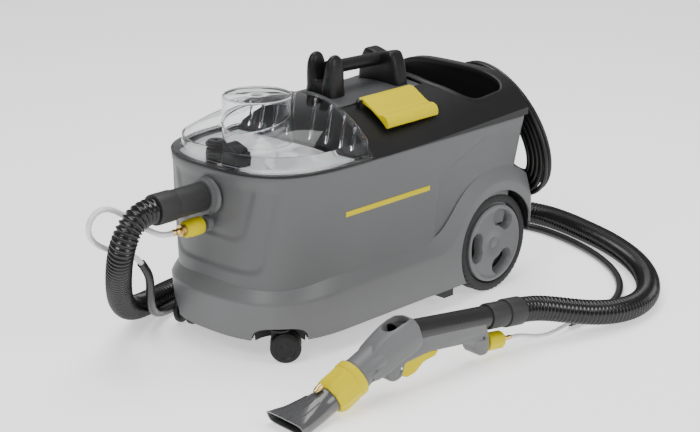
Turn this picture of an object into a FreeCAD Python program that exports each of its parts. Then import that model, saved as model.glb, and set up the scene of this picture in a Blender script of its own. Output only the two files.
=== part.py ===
import FreeCAD, Part
import math
import os
import re

import Sketcher
from FreeCAD import Placement, Rotation, Vector

# Spot extractor for upholstery and carpet spots, with its hoses and hand tool.
# X runs from the front (-X) to the rear, -Y is the side the hand tool lies on, +Z is up.
# Lengths are in millimetres, measured from the machine's middle on the floor.
# origin_x and origin_y move everything so that the row's origin is in the middle of the footprint.

SIZES = {
    # where the row's origin lies
    "origin_x": 15.6,
    "origin_y": 106.6,
    # lower housing
    "skirt_z": 37.0,
    "crease_z": 95.0,
    "foot_z": 125.0,
    "housing_rear": 345.0,
    "housing_wall": 4.0,
    # tank housing
    "rim_z": 303.0,
    "rim_front": -272.0,
    "rim_half": 158.5,
    "foot_front": -268.0,
    "foot_half": 151.0,
    "tank_rear_foot": 290.0,
    "tank_rear_rim": 325.0,
    "tank_wall": 3.0,
    "front_depth": 180.0,
    # rear wheels
    "axle_x": 248.0,
    "tyre_radius": 87.0,
    "hub_radius": 71.0,
    "wheel_face": 154.5,
    "wheel_width": 36.0,
    "axle_radius": 6.0,
    "fit_gap": 0.08,
    "well_radius": 95.0,
    "arch_radius": 132.0,
    "well_side": 104.0,
    # casters
    "caster_x": -228.0,
    "caster_y": 112.0,
    "caster_radius": 25.0,
    "caster_trail": 9.0,
    "caster_well": 44.0,
    # lid
    "lid_z": 306.6,
    "lid_crease": 331.0,
    "lid_wall": 2.2,
    "turret_x": -163.0,
    "turret_radius": 56.0,
    "turret_top": 400.0,
    # top cover and deck
    "arch_top": 380.0,
    "seam_x": -50.0,
    "seam_foot": -67.0,
    "deck_half": 60.0,
    "deck_front": -37.0,
    "deck_rear": 161.0,
    "deck_top": 372.0,
    # handle
    "front_post_x": -10.0,
    "rear_post_x": 128.0,
    "bar_z": 414.0,
    "bar_radius": 11.0,
    # latch
    "latch_left": 0.0,
    "latch_right": 122.0,
    "latch_pin_y": -70.0,
    "latch_pin_z": 371.2,
    "latch_pin_radius": 2.5,
    # suction port and water coupler on the front
    "port_z": 259.0,
    "port_radius": 27.0,
    "cuff_end": -383.0,
    "coupler_z": 213.5,
    # hoses and cords
    "hose_radius": 21.0,
    "sheath_radius": 7.0,
    "spray_radius": 4.5,
    "cord_radius": 4.0,
    "hank_x": 362.0,
    "hank_y": -69.0,
    "hank_z": 257.0,
    "hank_tilt": 45.0,
    "hank_long": 115.0,
    "hank_short": 63.0,
    # hand tool, along its own axis from the hose end of its cuff
    "tool_x": 92.5,
    "tool_y": -352.5,
    "tool_z": 62.0,
    "tool_yaw": 175.0,
    "tool_rise": 6.3,
    "tool_coupler_z": 19.0,
    "neck_fall": 24.2,
    "neck_from": 340.0,
    "neck_z": 63.5,
    "tube_radius": 18.0,
    "nut_radius": 30.5,
    "neck_radius": 25.0,
}

doc = FreeCAD.newDocument("SpotExtractor")
sheet = doc.addObject("Spreadsheet::Sheet", "Sizes")
for row, (alias, value) in enumerate(SIZES.items(), start=1):
    sheet.set(f"A{row}", alias)
    sheet.set(f"B{row}", str(value))
    sheet.setAlias(f"B{row}", alias)
doc.recompute()

pieces = []


# ---------------------------------------------------------------- helpers


def size(expression):
    """The number an expression of sheet words has now."""
    if isinstance(expression, (int, float)):
        return float(expression)
    words = re.sub(r"[a-z_]+[a-z]", lambda found: str(SIZES[found.group()]), expression)
    total = 0.0
    for term in re.findall(r"[+-]?[^+-]+", words.replace(" ", "").replace("--", "+").replace("+-", "-")):
        product = 1.0
        for factor in re.split(r"\*", term):
            product *= float(factor)
        total += product
    return total


def bind(obj, path, expression):
    """Ties one property to the sheet, or sets it when it is a plain number."""
    if isinstance(expression, str):
        obj.setExpression(path, re.sub(r"[a-z_]+[a-z]", lambda found: "Sizes." + found.group(), expression))
    elif path.startswith("Placement.Base."):
        base = obj.Placement.Base
        setattr(base, path[-1], expression)
        obj.Placement = Placement(base, obj.Placement.Rotation)
    else:
        setattr(obj, path, expression)


def place(obj, x=0.0, y=0.0, z=0.0, axis=None, angle=0.0):
    """Puts an object at a point, turned about an axis."""
    if axis is not None:
        obj.Placement = Placement(Vector(0, 0, 0), Rotation(Vector(*axis), angle))
    for letter, expression in zip("xyz", (x, y, z)):
        bind(obj, f"Placement.Base.{letter}", expression)
    return obj


def box(name, x, y, z, length, width, height):
    """A block from its lowest corner."""
    obj = doc.addObject("Part::Box", name)
    bind(obj, "Length", length)
    bind(obj, "Width", width)
    bind(obj, "Height", height)
    return place(obj, x, y, z)


# turns that point a solid's own +Z along a row axis
ALONG = {"x": ((0, 1, 0), 90), "-x": ((0, 1, 0), -90), "y": ((1, 0, 0), -90), "-y": ((1, 0, 0), 90)}


def rod(name, radius, height, x=0.0, y=0.0, z=0.0, along=None):
    """A cylinder that starts at a point."""
    obj = doc.addObject("Part::Cylinder", name)
    bind(obj, "Radius", radius)
    bind(obj, "Height", height)
    axis, angle = ALONG.get(along, (None, 0))
    return place(obj, x, y, z, axis, angle)


def cone(name, radius_1, radius_2, height, x=0.0, y=0.0, z=0.0, along=None):
    """A cone frustum that starts at a point."""
    obj = doc.addObject("Part::Cone", name)
    bind(obj, "Radius1", radius_1)
    bind(obj, "Radius2", radius_2)
    bind(obj, "Height", height)
    axis, angle = ALONG.get(along, (None, 0))
    return place(obj, x, y, z, axis, angle)


def ball(name, radius, x, y, z):
    """A sphere."""
    obj = doc.addObject("Part::Sphere", name)
    bind(obj, "Radius", radius)
    return place(obj, x, y, z)


def fuse(name, *shapes):
    """Several solids joined into one."""
    obj = doc.addObject("Part::MultiFuse", name)
    obj.Shapes = list(shapes)
    obj.Refine = True
    return obj


def cut(name, base, *tools):
    """A solid less others."""
    tool = tools[0] if len(tools) == 1 else fuse(name + "_tools", *tools)
    obj = doc.addObject("Part::Cut", name)
    obj.Base = base
    obj.Tool = tool
    return obj


def common(name, base, tool):
    """What two solids share."""
    obj = doc.addObject("Part::Common", name)
    obj.Base = base
    obj.Tool = tool
    return obj


def plain(name, shape):
    """A solid made with Part's own functions."""
    obj = doc.addObject("Part::Feature", name)
    obj.Shape = shape
    return obj


def sketch_on(body, role, name, points):
    """A closed polygon on one of a body's own planes, each corner driven by the sheet."""
    sketch = body.newObject("Sketcher::SketchObject", name)
    plane = next(item for item in body.Origin.OriginFeatures if item.Role == role)
    sketch.AttachmentSupport = (plane, [""])
    sketch.MapMode = "FlatFace"
    corners = [Vector(size(across), size(up), 0) for across, up in points]
    for index, corner in enumerate(corners):
        sketch.addGeometry(Part.LineSegment(corner, corners[(index + 1) % len(corners)]))
    for index in range(len(corners)):
        sketch.addConstraint(Sketcher.Constraint("Coincident", index, 2, (index + 1) % len(corners), 1))
    for index, point in enumerate(points):
        for kind, value, axis in (("DistanceX", point[0], -2), ("DistanceY", point[1], -1)):
            if abs(size(value)) < 1e-9:
                sketch.addConstraint(Sketcher.Constraint("PointOnObject", index, 1, axis))
                continue
            at = sketch.addConstraint(Sketcher.Constraint(kind, -1, 1, index, 1, size(value)))
            if isinstance(value, str):
                bind(sketch, f"Constraints[{at}]", value)
    return sketch


def turned(name, points):
    """A PartDesign body revolved about its own Z, from (radius, height) corners."""
    body = doc.addObject("PartDesign::Body", name)
    sketch = sketch_on(body, "XZ_Plane", name + "_half", points)
    feature = body.newObject("PartDesign::Revolution", name + "_turn")
    feature.Profile = sketch
    feature.ReferenceAxis = (sketch, ["V_Axis"])
    feature.Angle = 360
    return body


def slab(name, role, points, thickness, middle=True):
    """A PartDesign body padded from a polygon on one of its own planes."""
    body = doc.addObject("PartDesign::Body", name)
    sketch = sketch_on(body, role, name + "_outline", points)
    feature = body.newObject("PartDesign::Pad", name + "_pad")
    feature.Profile = sketch
    bind(feature, "Length", thickness)
    feature.Midplane = middle
    return body


def keep(obj, label):
    """Takes an object as a sub-part: its own label, and its place shifted to the row's origin."""
    obj.Label = label
    bound = {path.lstrip("."): text for path, text in obj.ExpressionEngine}
    for letter in "xy":
        path = f"Placement.Base.{letter}"
        now = bound.get(path, str(getattr(obj.Placement.Base, letter)))
        obj.setExpression(path, f"{now} + Sizes.origin_{letter}")
    pieces.append(obj)
    return obj


def front_curve(front, half, depth, power, z, steps=24):
    """Half an ellipse-like curve round the machine's front, from side to side."""
    points = []
    for step in range(steps + 1):
        angle = math.pi / 2 + math.pi * step / steps
        across = math.copysign(abs(math.sin(angle)) ** (2 / power), math.sin(angle))
        along = math.copysign(abs(math.cos(angle)) ** (2 / power), math.cos(angle))
        points.append(Vector(front + depth + depth * along, half * across, z))
    return points


def outline(front, half, depth, power, rear, z):
    """The closed plan outline at one height: curved front, straight sides and rear."""
    curve = Part.BSplineCurve()
    points = front_curve(front, half, depth, power, z)
    curve.interpolate(points)
    near = Vector(rear, -half, z)
    far = Vector(rear, half, z)
    edges = [curve.toShape(), Part.makeLine(points[-1], near), Part.makeLine(near, far),
             Part.makeLine(far, points[0])]
    return Part.Wire(edges)


def stacked(*outlines, ruled=True):
    """A solid through plan outlines, from the lowest up."""
    return Part.makeLoft([outline(*values) for values in outlines], True, ruled)


def arch(x, foot, top, half, power, low):
    """A crowned cross-section of the cover: flat foot, short sides and a curved top."""
    steps = 16
    points = []
    for step in range(steps + 1):
        across = -1 + 2 * step / steps
        points.append(Vector(x, half * across, foot + (top - foot) * (1 - abs(across) ** power)))
    curve = Part.BSplineCurve()
    curve.interpolate(points)
    left = Vector(x, -half, low)
    right = Vector(x, half, low)
    edges = [curve.toShape(), Part.makeLine(points[-1], right), Part.makeLine(right, left),
             Part.makeLine(left, points[0])]
    return Part.Wire(edges)


def rounded_path(route):
    """Straight runs joined by tangent arcs, and the radius of each arc."""
    points = [Vector(*point) for point in route]
    radii = []
    edges = []
    start = points[0]
    for before, corner, after in zip(points, points[1:], points[2:]):
        into = (corner - before).normalize()
        out = (after - corner).normalize()
        half_turn = into.getAngle(out) / 2
        shorter = min(corner.distanceToPoint(before), corner.distanceToPoint(after))
        trim = 0.45 * shorter
        radius = trim / math.tan(half_turn)
        radii.append(round(radius, 1))
        first = corner - into * trim
        last = corner + out * trim
        towards = (out - into).normalize()
        centre_gap = radius / math.cos(half_turn)
        middle = corner + towards * (centre_gap - radius)
        edges.append(Part.LineSegment(start, first).toShape())
        edges.append(Part.Arc(first, middle, last).toShape())
        start = last
    edges.append(Part.LineSegment(start, points[-1]).toShape())
    return Part.Wire(edges), radii


def tube(name, route, radius):
    """A cord's plain tube along its route, with its radii printed and its volume compared."""
    path, radii = rounded_path(route)
    first = Vector(*route[0])
    heading = (Vector(*route[1]) - first).normalize()
    ring = Part.Wire([Part.makeCircle(radius, first, heading)])
    shape = path.makePipeShell([ring], True, True)
    expected = math.pi * radius ** 2 * path.Length
    print(f"{name}: length {path.Length:.0f}, radii {radii}, volume ratio {shape.Volume / expected:.4f}")
    lowest = path.BoundBox.ZMin - radius
    if not 0.99 < shape.Volume / expected < 1.01 or lowest < -0.01:
        raise SystemExit(f"{name} is not a clean tube above the floor (lowest {lowest:.2f})")
    return plain(name, shape)


# ---------------------------------------------------------------- lower housing

wall = size("housing_wall")


def housing_solid(inset, low, high):
    """The lower housing's outer form, or the same form drawn in by a wall."""
    rear = size("housing_rear") - inset
    levels = [
        (-277 + inset, 158 - inset, 159, 2.62, rear, low),
        (-283 + inset, 160 - inset, 162, 2.62, rear, size("crease_z")),
        (size("foot_front") + inset, size("foot_half") - inset, 162, 2.9, rear, high),
    ]
    return Part.makeSolid(stacked(*levels))


def both_sides(name, make):
    """The same solid on the near and the far side, joined."""
    return fuse(name, make(name + "_near", -1), make(name + "_far", 1))


def side_rod(name, radius, inner, outer, side):
    """A cylinder about the axle line, from one distance from the middle to another."""
    start = inner if side > 0 else -outer
    return rod(name, radius, outer - inner, "axle_x", start, "tyre_radius", "y")


def arch_block(name, side):
    """The bulge of a wheel arch: a drum with a sloped outer face."""
    drum = side_rod(name + "_drum", "arch_radius", size("well_side"), 152.0, side)
    slope = cone(name + "_slope", 132.0, 108.0, 8.0, "axle_x", 152.0 * side, "tyre_radius",
                 "y" if side > 0 else "-y")
    return fuse(name, drum, slope)


outer = plain("housing_outer", housing_solid(0, size("skirt_z"), size("foot_z")))
below = box("arch_floor", -400, -200, -200, 900, 400, "200 + crease_z")
bulges = cut("arch_bulges", both_sides("arch_block", arch_block), below)
behind = box("arch_behind", "housing_rear", -200, 0, 100, 400, 300)
cavity = plain("housing_cavity", housing_solid(wall, size("skirt_z") - 10, size("foot_z") - wall))
arch_room = both_sides("arch_room", lambda name, side: side_rod(name, 128, 108, 150, side))
arch_low = box("arch_low", -400, -200, -200, 900, 400, 290)
wells = both_sides("wells", lambda name, side: side_rod(name, "well_radius + 3.5", 104, 165, side))
hollow = cut("housing_hollow", fuse("housing_room", cavity, cut("arch_room_top", arch_room, arch_low)), wells)
openings = both_sides("well_openings", lambda name, side: side_rod(name, "well_radius", 108, 170, side))
well_foot = both_sides("well_feet", lambda name, side: box(
    name, 153, 108 if side > 0 else -170, 20, 190, 62, 67))
caster_wells = both_sides("caster_wells", lambda name, side: rod(
    name, "caster_well + 0.6", 37, "caster_x", size("caster_y") * side, 20))
axle_way = rod("axle_way", "axle_radius + 1", 240, "axle_x", -120, "tyre_radius", "y")
body_shell = cut("housing_shell", fuse("housing_form", outer, bulges), behind, hollow, openings,
                 well_foot, caster_wells, axle_way)
keep(body_shell, "base_housing")

# ---------------------------------------------------------------- underbody plate

plate = plain("plate_form", Part.makeSolid(stacked(
    (-271, 151, 156, 2.62, 339, 38), (-271.5, 151.5, 156, 2.62, 339, 42))))
cups = common("cups", both_sides("caster_cups", lambda name, side: rod(
    name, "caster_well", 18, "caster_x", size("caster_y") * side, 38)), plain("cup_limit", housing_solid(
        wall + 0.5, size("skirt_z"), 100)))
cup_rooms = both_sides("cup_rooms", lambda name, side: rod(
    name, "caster_well - 2.5", 30, "caster_x", size("caster_y") * side, 27.5))
plate_wells = both_sides("plate_wells", lambda name, side: box(
    name, 150, 103.5 if side > 0 else -170.5, 10, 196, 67, 60))
bearers = both_sides("axle_bearers", lambda name, side: box(
    name, 228, 84 if side > 0 else -96, 40, 40, 12, 60))
chins = both_sides("wheel_chins", lambda name, side: slab(
    name, "XZ_Plane", [(112, 42), (126, 16), (149, 16), (149, 42)], 40))
for chin, side in zip(chins.Shapes, (-1, 1)):
    place(chin, y=127.0 * side)
axle_bore = rod("axle_bore", "axle_radius", 220, "axle_x", -110, "tyre_radius", "y")
stem_bores = both_sides("stem_bores", lambda name, side: rod(
    name, "5 + fit_gap", 40, "caster_x", size("caster_y") * side, 40))
underbody = cut("underbody", fuse("underbody_form", cut("plate_cut", fuse("plate_cups", plate, cups),
                plate_wells), bearers, chins), cup_rooms, axle_bore, stem_bores)
keep(underbody, "underbody_plate")

# ---------------------------------------------------------------- tank housing


def tank_solid(inset, low, high):
    """The tank housing's outer form, or the same form drawn in."""
    span = size("rim_z") - size("foot_z")

    def level(z):
        share = (z - size("foot_z")) / span
        front = size("foot_front") + share * (size("rim_front") - size("foot_front"))
        half = size("foot_half") + share * (size("rim_half") - size("foot_half"))
        rear = size("tank_rear_foot") + share * (size("tank_rear_rim") - size("tank_rear_foot"))
        depth = size("front_depth") - inset / 2
        return (front + inset, half - inset, depth, 3.0, rear - inset, z)

    return Part.makeSolid(stacked(level(low), level(high)))


tank_outer = plain("tank_outer", tank_solid(0, size("foot_z"), size("rim_z")))
tank_wall = size("tank_wall")
front_room = common("front_room", plain("tank_inner_front", tank_solid(tank_wall, 128, 310)),
                    box("front_half", -400, -300, 100, 385, 600, 300))
rear_room = common("rear_room", plain("tank_inner_rear", tank_solid(tank_wall, 128, 310)),
                   box("rear_half", -12, -300, 100, 500, 600, 300))
arch_tunnels = both_sides("arch_tunnels", lambda name, side: side_rod(
    name, "arch_radius + 0.4", 103.5, 175, side))
tunnel_walls = both_sides("tunnel_walls", lambda name, side: side_rod(
    name, "arch_radius + 3", 100.5, 175, side))
rear_hollow = cut("rear_hollow", rear_room, tunnel_walls)
port_hole = rod("port_hole", 19.4, 40, -290, 0, "port_z", "x")
coupler_hole = rod("coupler_hole", 6, 40, -290, 0, "coupler_z", "x")
switch_holes = fuse("switch_holes", box("switch_hole_a", 300, 50, 262, 40, 16, 26),
                    box("switch_hole_b", 300, 80, 262, 40, 16, 26))
gland_hole = rod("gland_hole", 9, 40, 280, -60, 190, "x")
tank = cut("tank_shell", tank_outer, front_room, rear_hollow, arch_tunnels, port_hole, coupler_hole,
           switch_holes, gland_hole)
keep(tank, "tank_housing")

# black seal on the front of the rim
seal_ring = Part.makeSolid(stacked(
    (-272, 158.5, 180, 3.0, -68, 303), (-272.6, 159.1, 180, 3.0, -68, 306.3)))
seal_room = Part.makeSolid(stacked((-262, 148.5, 175, 3.0, -60, 300), (-262, 148.5, 175, 3.0, -60, 310)))
keep(cut("seal", plain("seal_outer", seal_ring), plain("seal_inner", seal_room)), "rim_seal")

# ---------------------------------------------------------------- recovery tub

tub_outer = plain("tub_outer", Part.makeSolid(stacked(
    (-246, 130, 160, 3.0, -76, 150), (-256, 143, 172, 3.0, -74, 298))))
tub_flange = plain("tub_flange", Part.makeSolid(stacked(
    (-260.5, 147, 176, 3.0, -72, 296), (-260.5, 147, 176, 3.0, -72, 299))))
tub_inner = plain("tub_inner", Part.makeSolid(stacked(
    (-243.5, 127.5, 158, 3.0, -78.5, 152.5), (-253, 140, 170, 3.0, -76.5, 296))))
tub_mouth = box("tub_mouth", -200, -105, 290, 110, 210, 20)
tub = cut("tub", fuse("tub_form", tub_outer, tub_flange), tub_inner, tub_mouth)
keep(tub, "recovery_tub")

# black inlet elbow that turns the dirty water down into the tub
elbow_drum = rod("elbow_drum", 17, 21, -228, 26, 299.2)
elbow_pipe = rod("elbow_pipe", 10, 46, -228, 26, 311, "-y")
elbow_barrel = rod("elbow_barrel", 11.5, 24, -228, 0, 311, "-y")
elbow_foot = box("elbow_foot", -245, -34, 299.2, 36, 28, 10)
elbow_bore = rod("elbow_bore", 7, 60, -228, 12, 311, "-y")
keep(cut("elbow", fuse("elbow_form", elbow_drum, elbow_pipe, elbow_barrel, elbow_foot), elbow_bore),
     "inlet_elbow")

# white float cage standing under the turret, with the float ball inside
cage_shell = turned("cage_shell", [(12, -3), (30, -3), (30, 34), (8, 52), (4, 52), (4, 46), (19, 32), (19, 0),
                                   (12, 0)])
place(cage_shell, "turret_x", 0, 276)
cage_bar = box("cage_bar", "turret_x - 43", -14, 299.2, 121, 28, 3)
cage_bore = rod("cage_bore", 19, 9, "turret_x", 0, 296)
keep(fuse("cage", cage_shell, cut("cage_arms", cage_bar, cage_bore)), "float_cage")
keep(ball("float", 17, "turret_x", 0, 288.2), "float_ball")

# ---------------------------------------------------------------- clear tank lid


def lid_levels(inset):
    """Plan outlines of the lid's dome, which get smaller towards its highest point."""
    rear = -40.0
    return [
        (-256 + inset, 144 - inset, 172, 3.0, rear, 331 - inset),
        (-238 + inset, 131 - inset, 158, 2.7, rear, 342 - inset),
        (-204 + inset, 109 - inset, 130, 2.4, rear, 355 - inset),
        (-150 + inset, 80 - inset, 90, 2.2, rear, 368 - inset),
        (-78 + inset, 30 - inset, 34, 2.0, rear, 379.5 - inset),
    ]


def seam_wedge(name, gap):
    """Everything behind the slanted seam between the lid and the cover."""
    low = size("seam_foot") - 0.2208 * 103 - gap
    high = size("seam_x") + 0.2208 * 100 - gap
    return slab(name, "XZ_Plane", [(low, 200), (400, 200), (400, 480), (high, 480)], 400)


thin = size("lid_wall")
side_wall = plain("lid_side", Part.makeSolid(stacked(
    (-258, 146, 174, 3.0, -40, size("lid_z")), (-256, 144, 172, 3.0, -40, size("lid_crease")))))
dome = plain("lid_dome", Part.makeSolid(stacked(*lid_levels(0))))
flange = plain("lid_flange", Part.makeSolid(stacked(
    (-272, 158.5, 180, 3.0, -40, size("lid_z")), (-270.5, 157, 180, 3.0, -40, size("lid_z") + 3))))
side_room = plain("lid_side_room", Part.makeSolid(stacked(
    (-258 + thin, 146 - thin, 174, 3.0, -30, size("lid_z") - 5),
    (-256 + thin, 144 - thin, 172, 3.0, -30, size("lid_crease") - thin))))
dome_room = plain("lid_dome_room", Part.makeSolid(stacked(*lid_levels(thin))))
turret = rod("turret", "turret_radius", "turret_top - 322", "turret_x", 0, 322)
turret_room = rod("turret_room", "turret_radius - lid_wall", "turret_top - 300 - lid_wall",
                  "turret_x", 0, 300)
lid_form = fuse("lid_form", side_wall, dome, flange)
lid_open = cut("lid_open", lid_form, side_room, dome_room, rod("turret_hole", "turret_radius - 1", 100,
               "turret_x", 0, 310))
lid = cut("lid", fuse("lid_with_turret", lid_open, cut("turret_shell", turret, turret_room)),
          seam_wedge("lid_seam", 0.8))
keep(lid, "tank_lid")

# ---------------------------------------------------------------- top cover


def cover_solid(drop, inset, front, rear, low):
    """The cover's outer form, or the same form lowered and drawn in."""
    half = size("rim_half") - inset
    wires = [
        arch(front, 304 - drop, size("arch_top") - drop - 2, half, 2.0, low),
        arch(130, 306.5 - drop, 378 - drop, half, 2.05, low),
        arch(230, 311 - drop, 374.5 - drop, half, 3.0, low),
        arch(rear, 315 - drop, 370 - drop, half, 4.6, low),
    ]
    return Part.makeSolid(Part.makeLoft(wires, True, False))


cover_outer = plain("cover_outer", cover_solid(0, 0.2, -90, size("tank_rear_rim"), size("rim_z")))
cover_inner = plain("cover_inner", cover_solid(3.5, 3.7, -80, size("tank_rear_rim") - 3.5, 295))
cover_bulkhead = box("cover_bulkhead", -90, -200, 290, 48, 400, 130)
cover_room = cut("cover_room", cover_inner, cover_bulkhead)
BASKET = [(176, -60), (212, -127), (288, -127), (300, -115), (300, 115), (288, 127), (212, 127), (176, 60)]
basket_block = slab("basket_block", "XY_Plane", [(172.5, -61.5), (210, -130.5), (290, -130.5), (303.5, -117),
                                                 (303.5, 117), (290, 130.5), (210, 130.5), (172.5, 61.5)],
                    200, False)
place(basket_block, z=230)
basket_limit = plain("basket_limit", cover_solid(0.2, 0.3, -90, 325, 232))
basket_outer = common("basket_form", basket_limit, basket_block)
basket_room = slab("basket_room", "XY_Plane", BASKET, 200, False)
place(basket_room, z=238)
deck_hole = box("deck_hole", "deck_front - 0.3", "0 - deck_half - 0.3", 350,
                "deck_rear - deck_front + 0.6", "2 * deck_half + 0.6", 60)
deck_lip = box("deck_lip", "deck_front - 6", "0 - deck_half - 6", 355,
               "deck_rear - deck_front + 12", "2 * deck_half + 12", 5.6)
deck_lip_hole = box("deck_lip_hole", "deck_front + 8", "8 - deck_half", 340,
                    "deck_rear - deck_front - 16", "2 * deck_half - 16", 40)
lugs = fuse("latch_lugs", box("lug_left", -6, -75, 355, 5, 9, 18),
            box("lug_right", 123, -75, 355, 5, 9, 18))
cover_joined = fuse("cover_joined", cut("cover_shell", cover_outer, cover_room), basket_outer)
cover_skin = cut("cover_skin", cover_joined, deck_hole)
cover_pin_bore = rod("cover_pin_bore", "latch_pin_radius", 140, -10, "latch_pin_y", "latch_pin_z", "x")
cover = cut("cover", fuse("cover_form", cover_skin, cut("deck_ledge", deck_lip, deck_lip_hole), lugs),
            basket_room, cut("seam_front", box("front_block", -200, -300, 250, 300, 600, 300),
                             seam_wedge("cover_seam", 0)), cover_pin_bore)
keep(cover, "top_cover")

# grey deck plate between the handle posts
deck_wires = [arch(size(x), size("deck_top") - 5, size("deck_top"), size("deck_half"), 2.0, 361)
              for x in ("deck_front", "deck_rear")]
deck_form = plain("deck_form", Part.makeSolid(Part.makeLoft(deck_wires, True, True)))
post_bolts = fuse("post_bolts", rod("bolt_a", 4.2, 40, "front_post_x", 18, 340),
                  rod("bolt_b", 4.2, 40, "front_post_x", -18, 340),
                  rod("bolt_c", 4.2, 40, "rear_post_x", 28, 340),
                  rod("bolt_d", 4.2, 40, "rear_post_x", -28, 340))
keep(cut("deck", deck_form, post_bolts), "deck_plate")

# ---------------------------------------------------------------- handle posts and bar

bar_start = Vector(size("front_post_x") + 9, 0, size("bar_z"))
bar_end = Vector(size("rear_post_x") - 1, 0, size("bar_z") - 4)


def bar_rod(name):
    """The handle bar's cylinder, which falls a little from the front post to the rear one."""
    bar = rod(name, "bar_radius", round((bar_end - bar_start).Length, 3))
    bar.Placement = Placement(bar_start, Rotation(Vector(0, 0, 1), bar_end - bar_start))
    return bar


FORK = [(-31, 366), (31, 366), (32, 385), (30, 412), (24, 434), (20, 440), (17, 436), (15, 418), (8, 402),
        (0, 397), (-8, 402), (-15, 418), (-17, 436), (-20, 440), (-24, 434), (-30, 412), (-32, 385)]
fork = slab("fork", "YZ_Plane", FORK, 38)
place(fork, "front_post_x")
under_deck = plain("under_deck", Part.makeSolid(Part.makeLoft(
    [arch(x, size("deck_top") - 5, size("deck_top") + 0.02, size("deck_half"), 2.0, 330) for x in (-36, 160)],
    True, True)))
fork_seat = cut("fork_seat", fork, under_deck)
stud_a = rod("stud_a", 4, 16, "front_post_x", 18, 359)
stud_b = rod("stud_b", 4, 16, "front_post_x", -18, 359)
# the front post is lower in the middle, so the bar runs into a block behind the cradle
block = box("fork_block", "front_post_x + 2", -14, 380, 17, 28, 47)
keep(cut("front_post", fuse("front_post_form", fork_seat, block, stud_a, stud_b), bar_rod("fork_socket")),
     "front_handle_post")

REAR_POST = [(-46, 366), (46, 366), (44, 385), (38, 412), (29, 424), (20, 426), (12, 423), (0, 419),
             (-12, 423), (-20, 426), (-29, 424), (-38, 412), (-44, 385)]
panel = slab("panel", "YZ_Plane", REAR_POST, 30)
place(panel, "rear_post_x")
panel_seat = cut("panel_seat", panel, under_deck)
stud_c = rod("stud_c", 4, 16, "rear_post_x", 28, 359)
stud_d = rod("stud_d", 4, 16, "rear_post_x", -28, 359)
keep(cut("rear_post", fuse("rear_post_form", panel_seat, stud_c, stud_d), bar_rod("rear_socket")),
     "rear_handle_post")
keep(bar_rod("bar"), "carry_handle")


# ---------------------------------------------------------------- latch

LATCH = [(-65.5, 368.6), (-74.5, 367.0), (-92, 359.4), (-108, 349.3), (-118, 341.4), (-127, 333.5),
         (-131, 336.5), (-131, 345), (-127, 352), (-119, 355.5), (-112, 354), (-104, 357), (-90, 366),
         (-76, 374.5), (-65.5, 376)]
latch_form = slab("latch_form", "YZ_Plane", LATCH, "latch_right - latch_left")
place(latch_form, "0.5 * latch_left + 0.5 * latch_right")
pin_bore = rod("latch_bore", "latch_pin_radius + fit_gap", 140, -10, "latch_pin_y", "latch_pin_z", "x")
keep(cut("latch", latch_form, pin_bore), "lid_latch")
keep(rod("pin", "latch_pin_radius", 133, -5.5, "latch_pin_y", "latch_pin_z", "x"), "latch_pin")

# ---------------------------------------------------------------- suction port and water coupler

port_drum = rod("port_drum", "port_radius", 24, -284, 0, "port_z", "x")
port_ring = cone("port_skirt", 27, 34, 12, -276, 0, "port_z", "x")
port_bore = rod("port_bore", 19.4, 60, -300, 0, "port_z", "x")
port_clear = plain("port_clear", tank_solid(-0.05, size("foot_z"), size("rim_z")))
keep(cut("port", fuse("port_form", port_drum, port_ring), port_clear, port_bore), "suction_port")

# two-step cuff of the suction hose, pushed into the port
cuff = turned("cuff", [(16, 0), (24.5, 0), (24.5, 36), (23, 38), (23, 98.5), (19.2, 98.5), (19.2, 114),
                       (16, 114)])
place(cuff, "cuff_end", 0, "port_z", (0, 1, 0), 90)
keep(cuff, "hose_cuff")

socket = turned("socket", [(0, 0), (6.5, 0), (6.5, 42), (13, 42), (13, 52), (5.6, 52), (5.6, 60), (0, 60)])
place(socket, -324, 0, "coupler_z", (0, 1, 0), 90)
keep(cut("socket_seat", socket, plain("socket_clear", Part.makeSolid(stacked(
    (-269.9, 156.5, 180, 3.0, 325, 150), (-269.9, 156.5, 180, 3.0, 325, 290)))),
    ), "coupler_socket")
sleeve = turned("sleeve", [("6.5 + fit_gap", 0), (12.0, 0), (13.5, 3), (13.5, 11), (14.5, 13), (14.5, 33),
                           (13.5, 35), ("6.5 + fit_gap", 35)])
place(sleeve, -323, 0, "coupler_z", (0, 1, 0), 90)
keep(sleeve, "coupler_sleeve")
barb = turned("barb", [(0, 0), (4.5, 0), (5.6, 4), (4.5, 8), (5.6, 12), (4.5, 16), (9, 16), (9, 22.5),
                       (0, 22.5)])
place(barb, -347, 0, "coupler_z", (0, 1, 0), 90)
keep(barb, "coupler_barb")

# ---------------------------------------------------------------- motor, fan and pump

motor_can = turned("motor_can", [(0, 0), (56, 0), (58, 3), (58, 74), (50, 80), (6, 80), (6, 116), (0, 116)])
place(motor_can, 90, 0, 128)
keep(motor_can, "vacuum_motor")
fan = turned("fan", [("6 + fit_gap", 0), (50, 0), (50, 3), (18, 12), (14, 22), ("6 + fit_gap", 22)])
place(fan, 90, 0, 216)
keep(fan, "motor_fan")
pump_body = box("pump_body", 185, 30, 128, 60, 44, 40)
pump_head = rod("pump_head", 20, 30, 245, 52, 148, "x")
pump_nipple = rod("pump_nipple", 5, 24, 262, 52, 160)
keep(fuse("pump", pump_body, pump_head, pump_nipple), "water_pump")

# ---------------------------------------------------------------- rear: switches, gland and hook

ROCKER = [(-5, -11), (4, -11), (2.5, 0), (6.5, 11), (-5, 11)]
for label, y in (("motor_switch", 58), ("pump_switch", 88)):
    rocker = slab(label + "_key", "XZ_Plane", ROCKER, 14)
    pivot = rod(label + "_pivot", 2, 15.2, 0, -7.6, 0, "y")
    keep(place(fuse(label + "_form", rocker, pivot), 318, y, 275), label)

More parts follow.
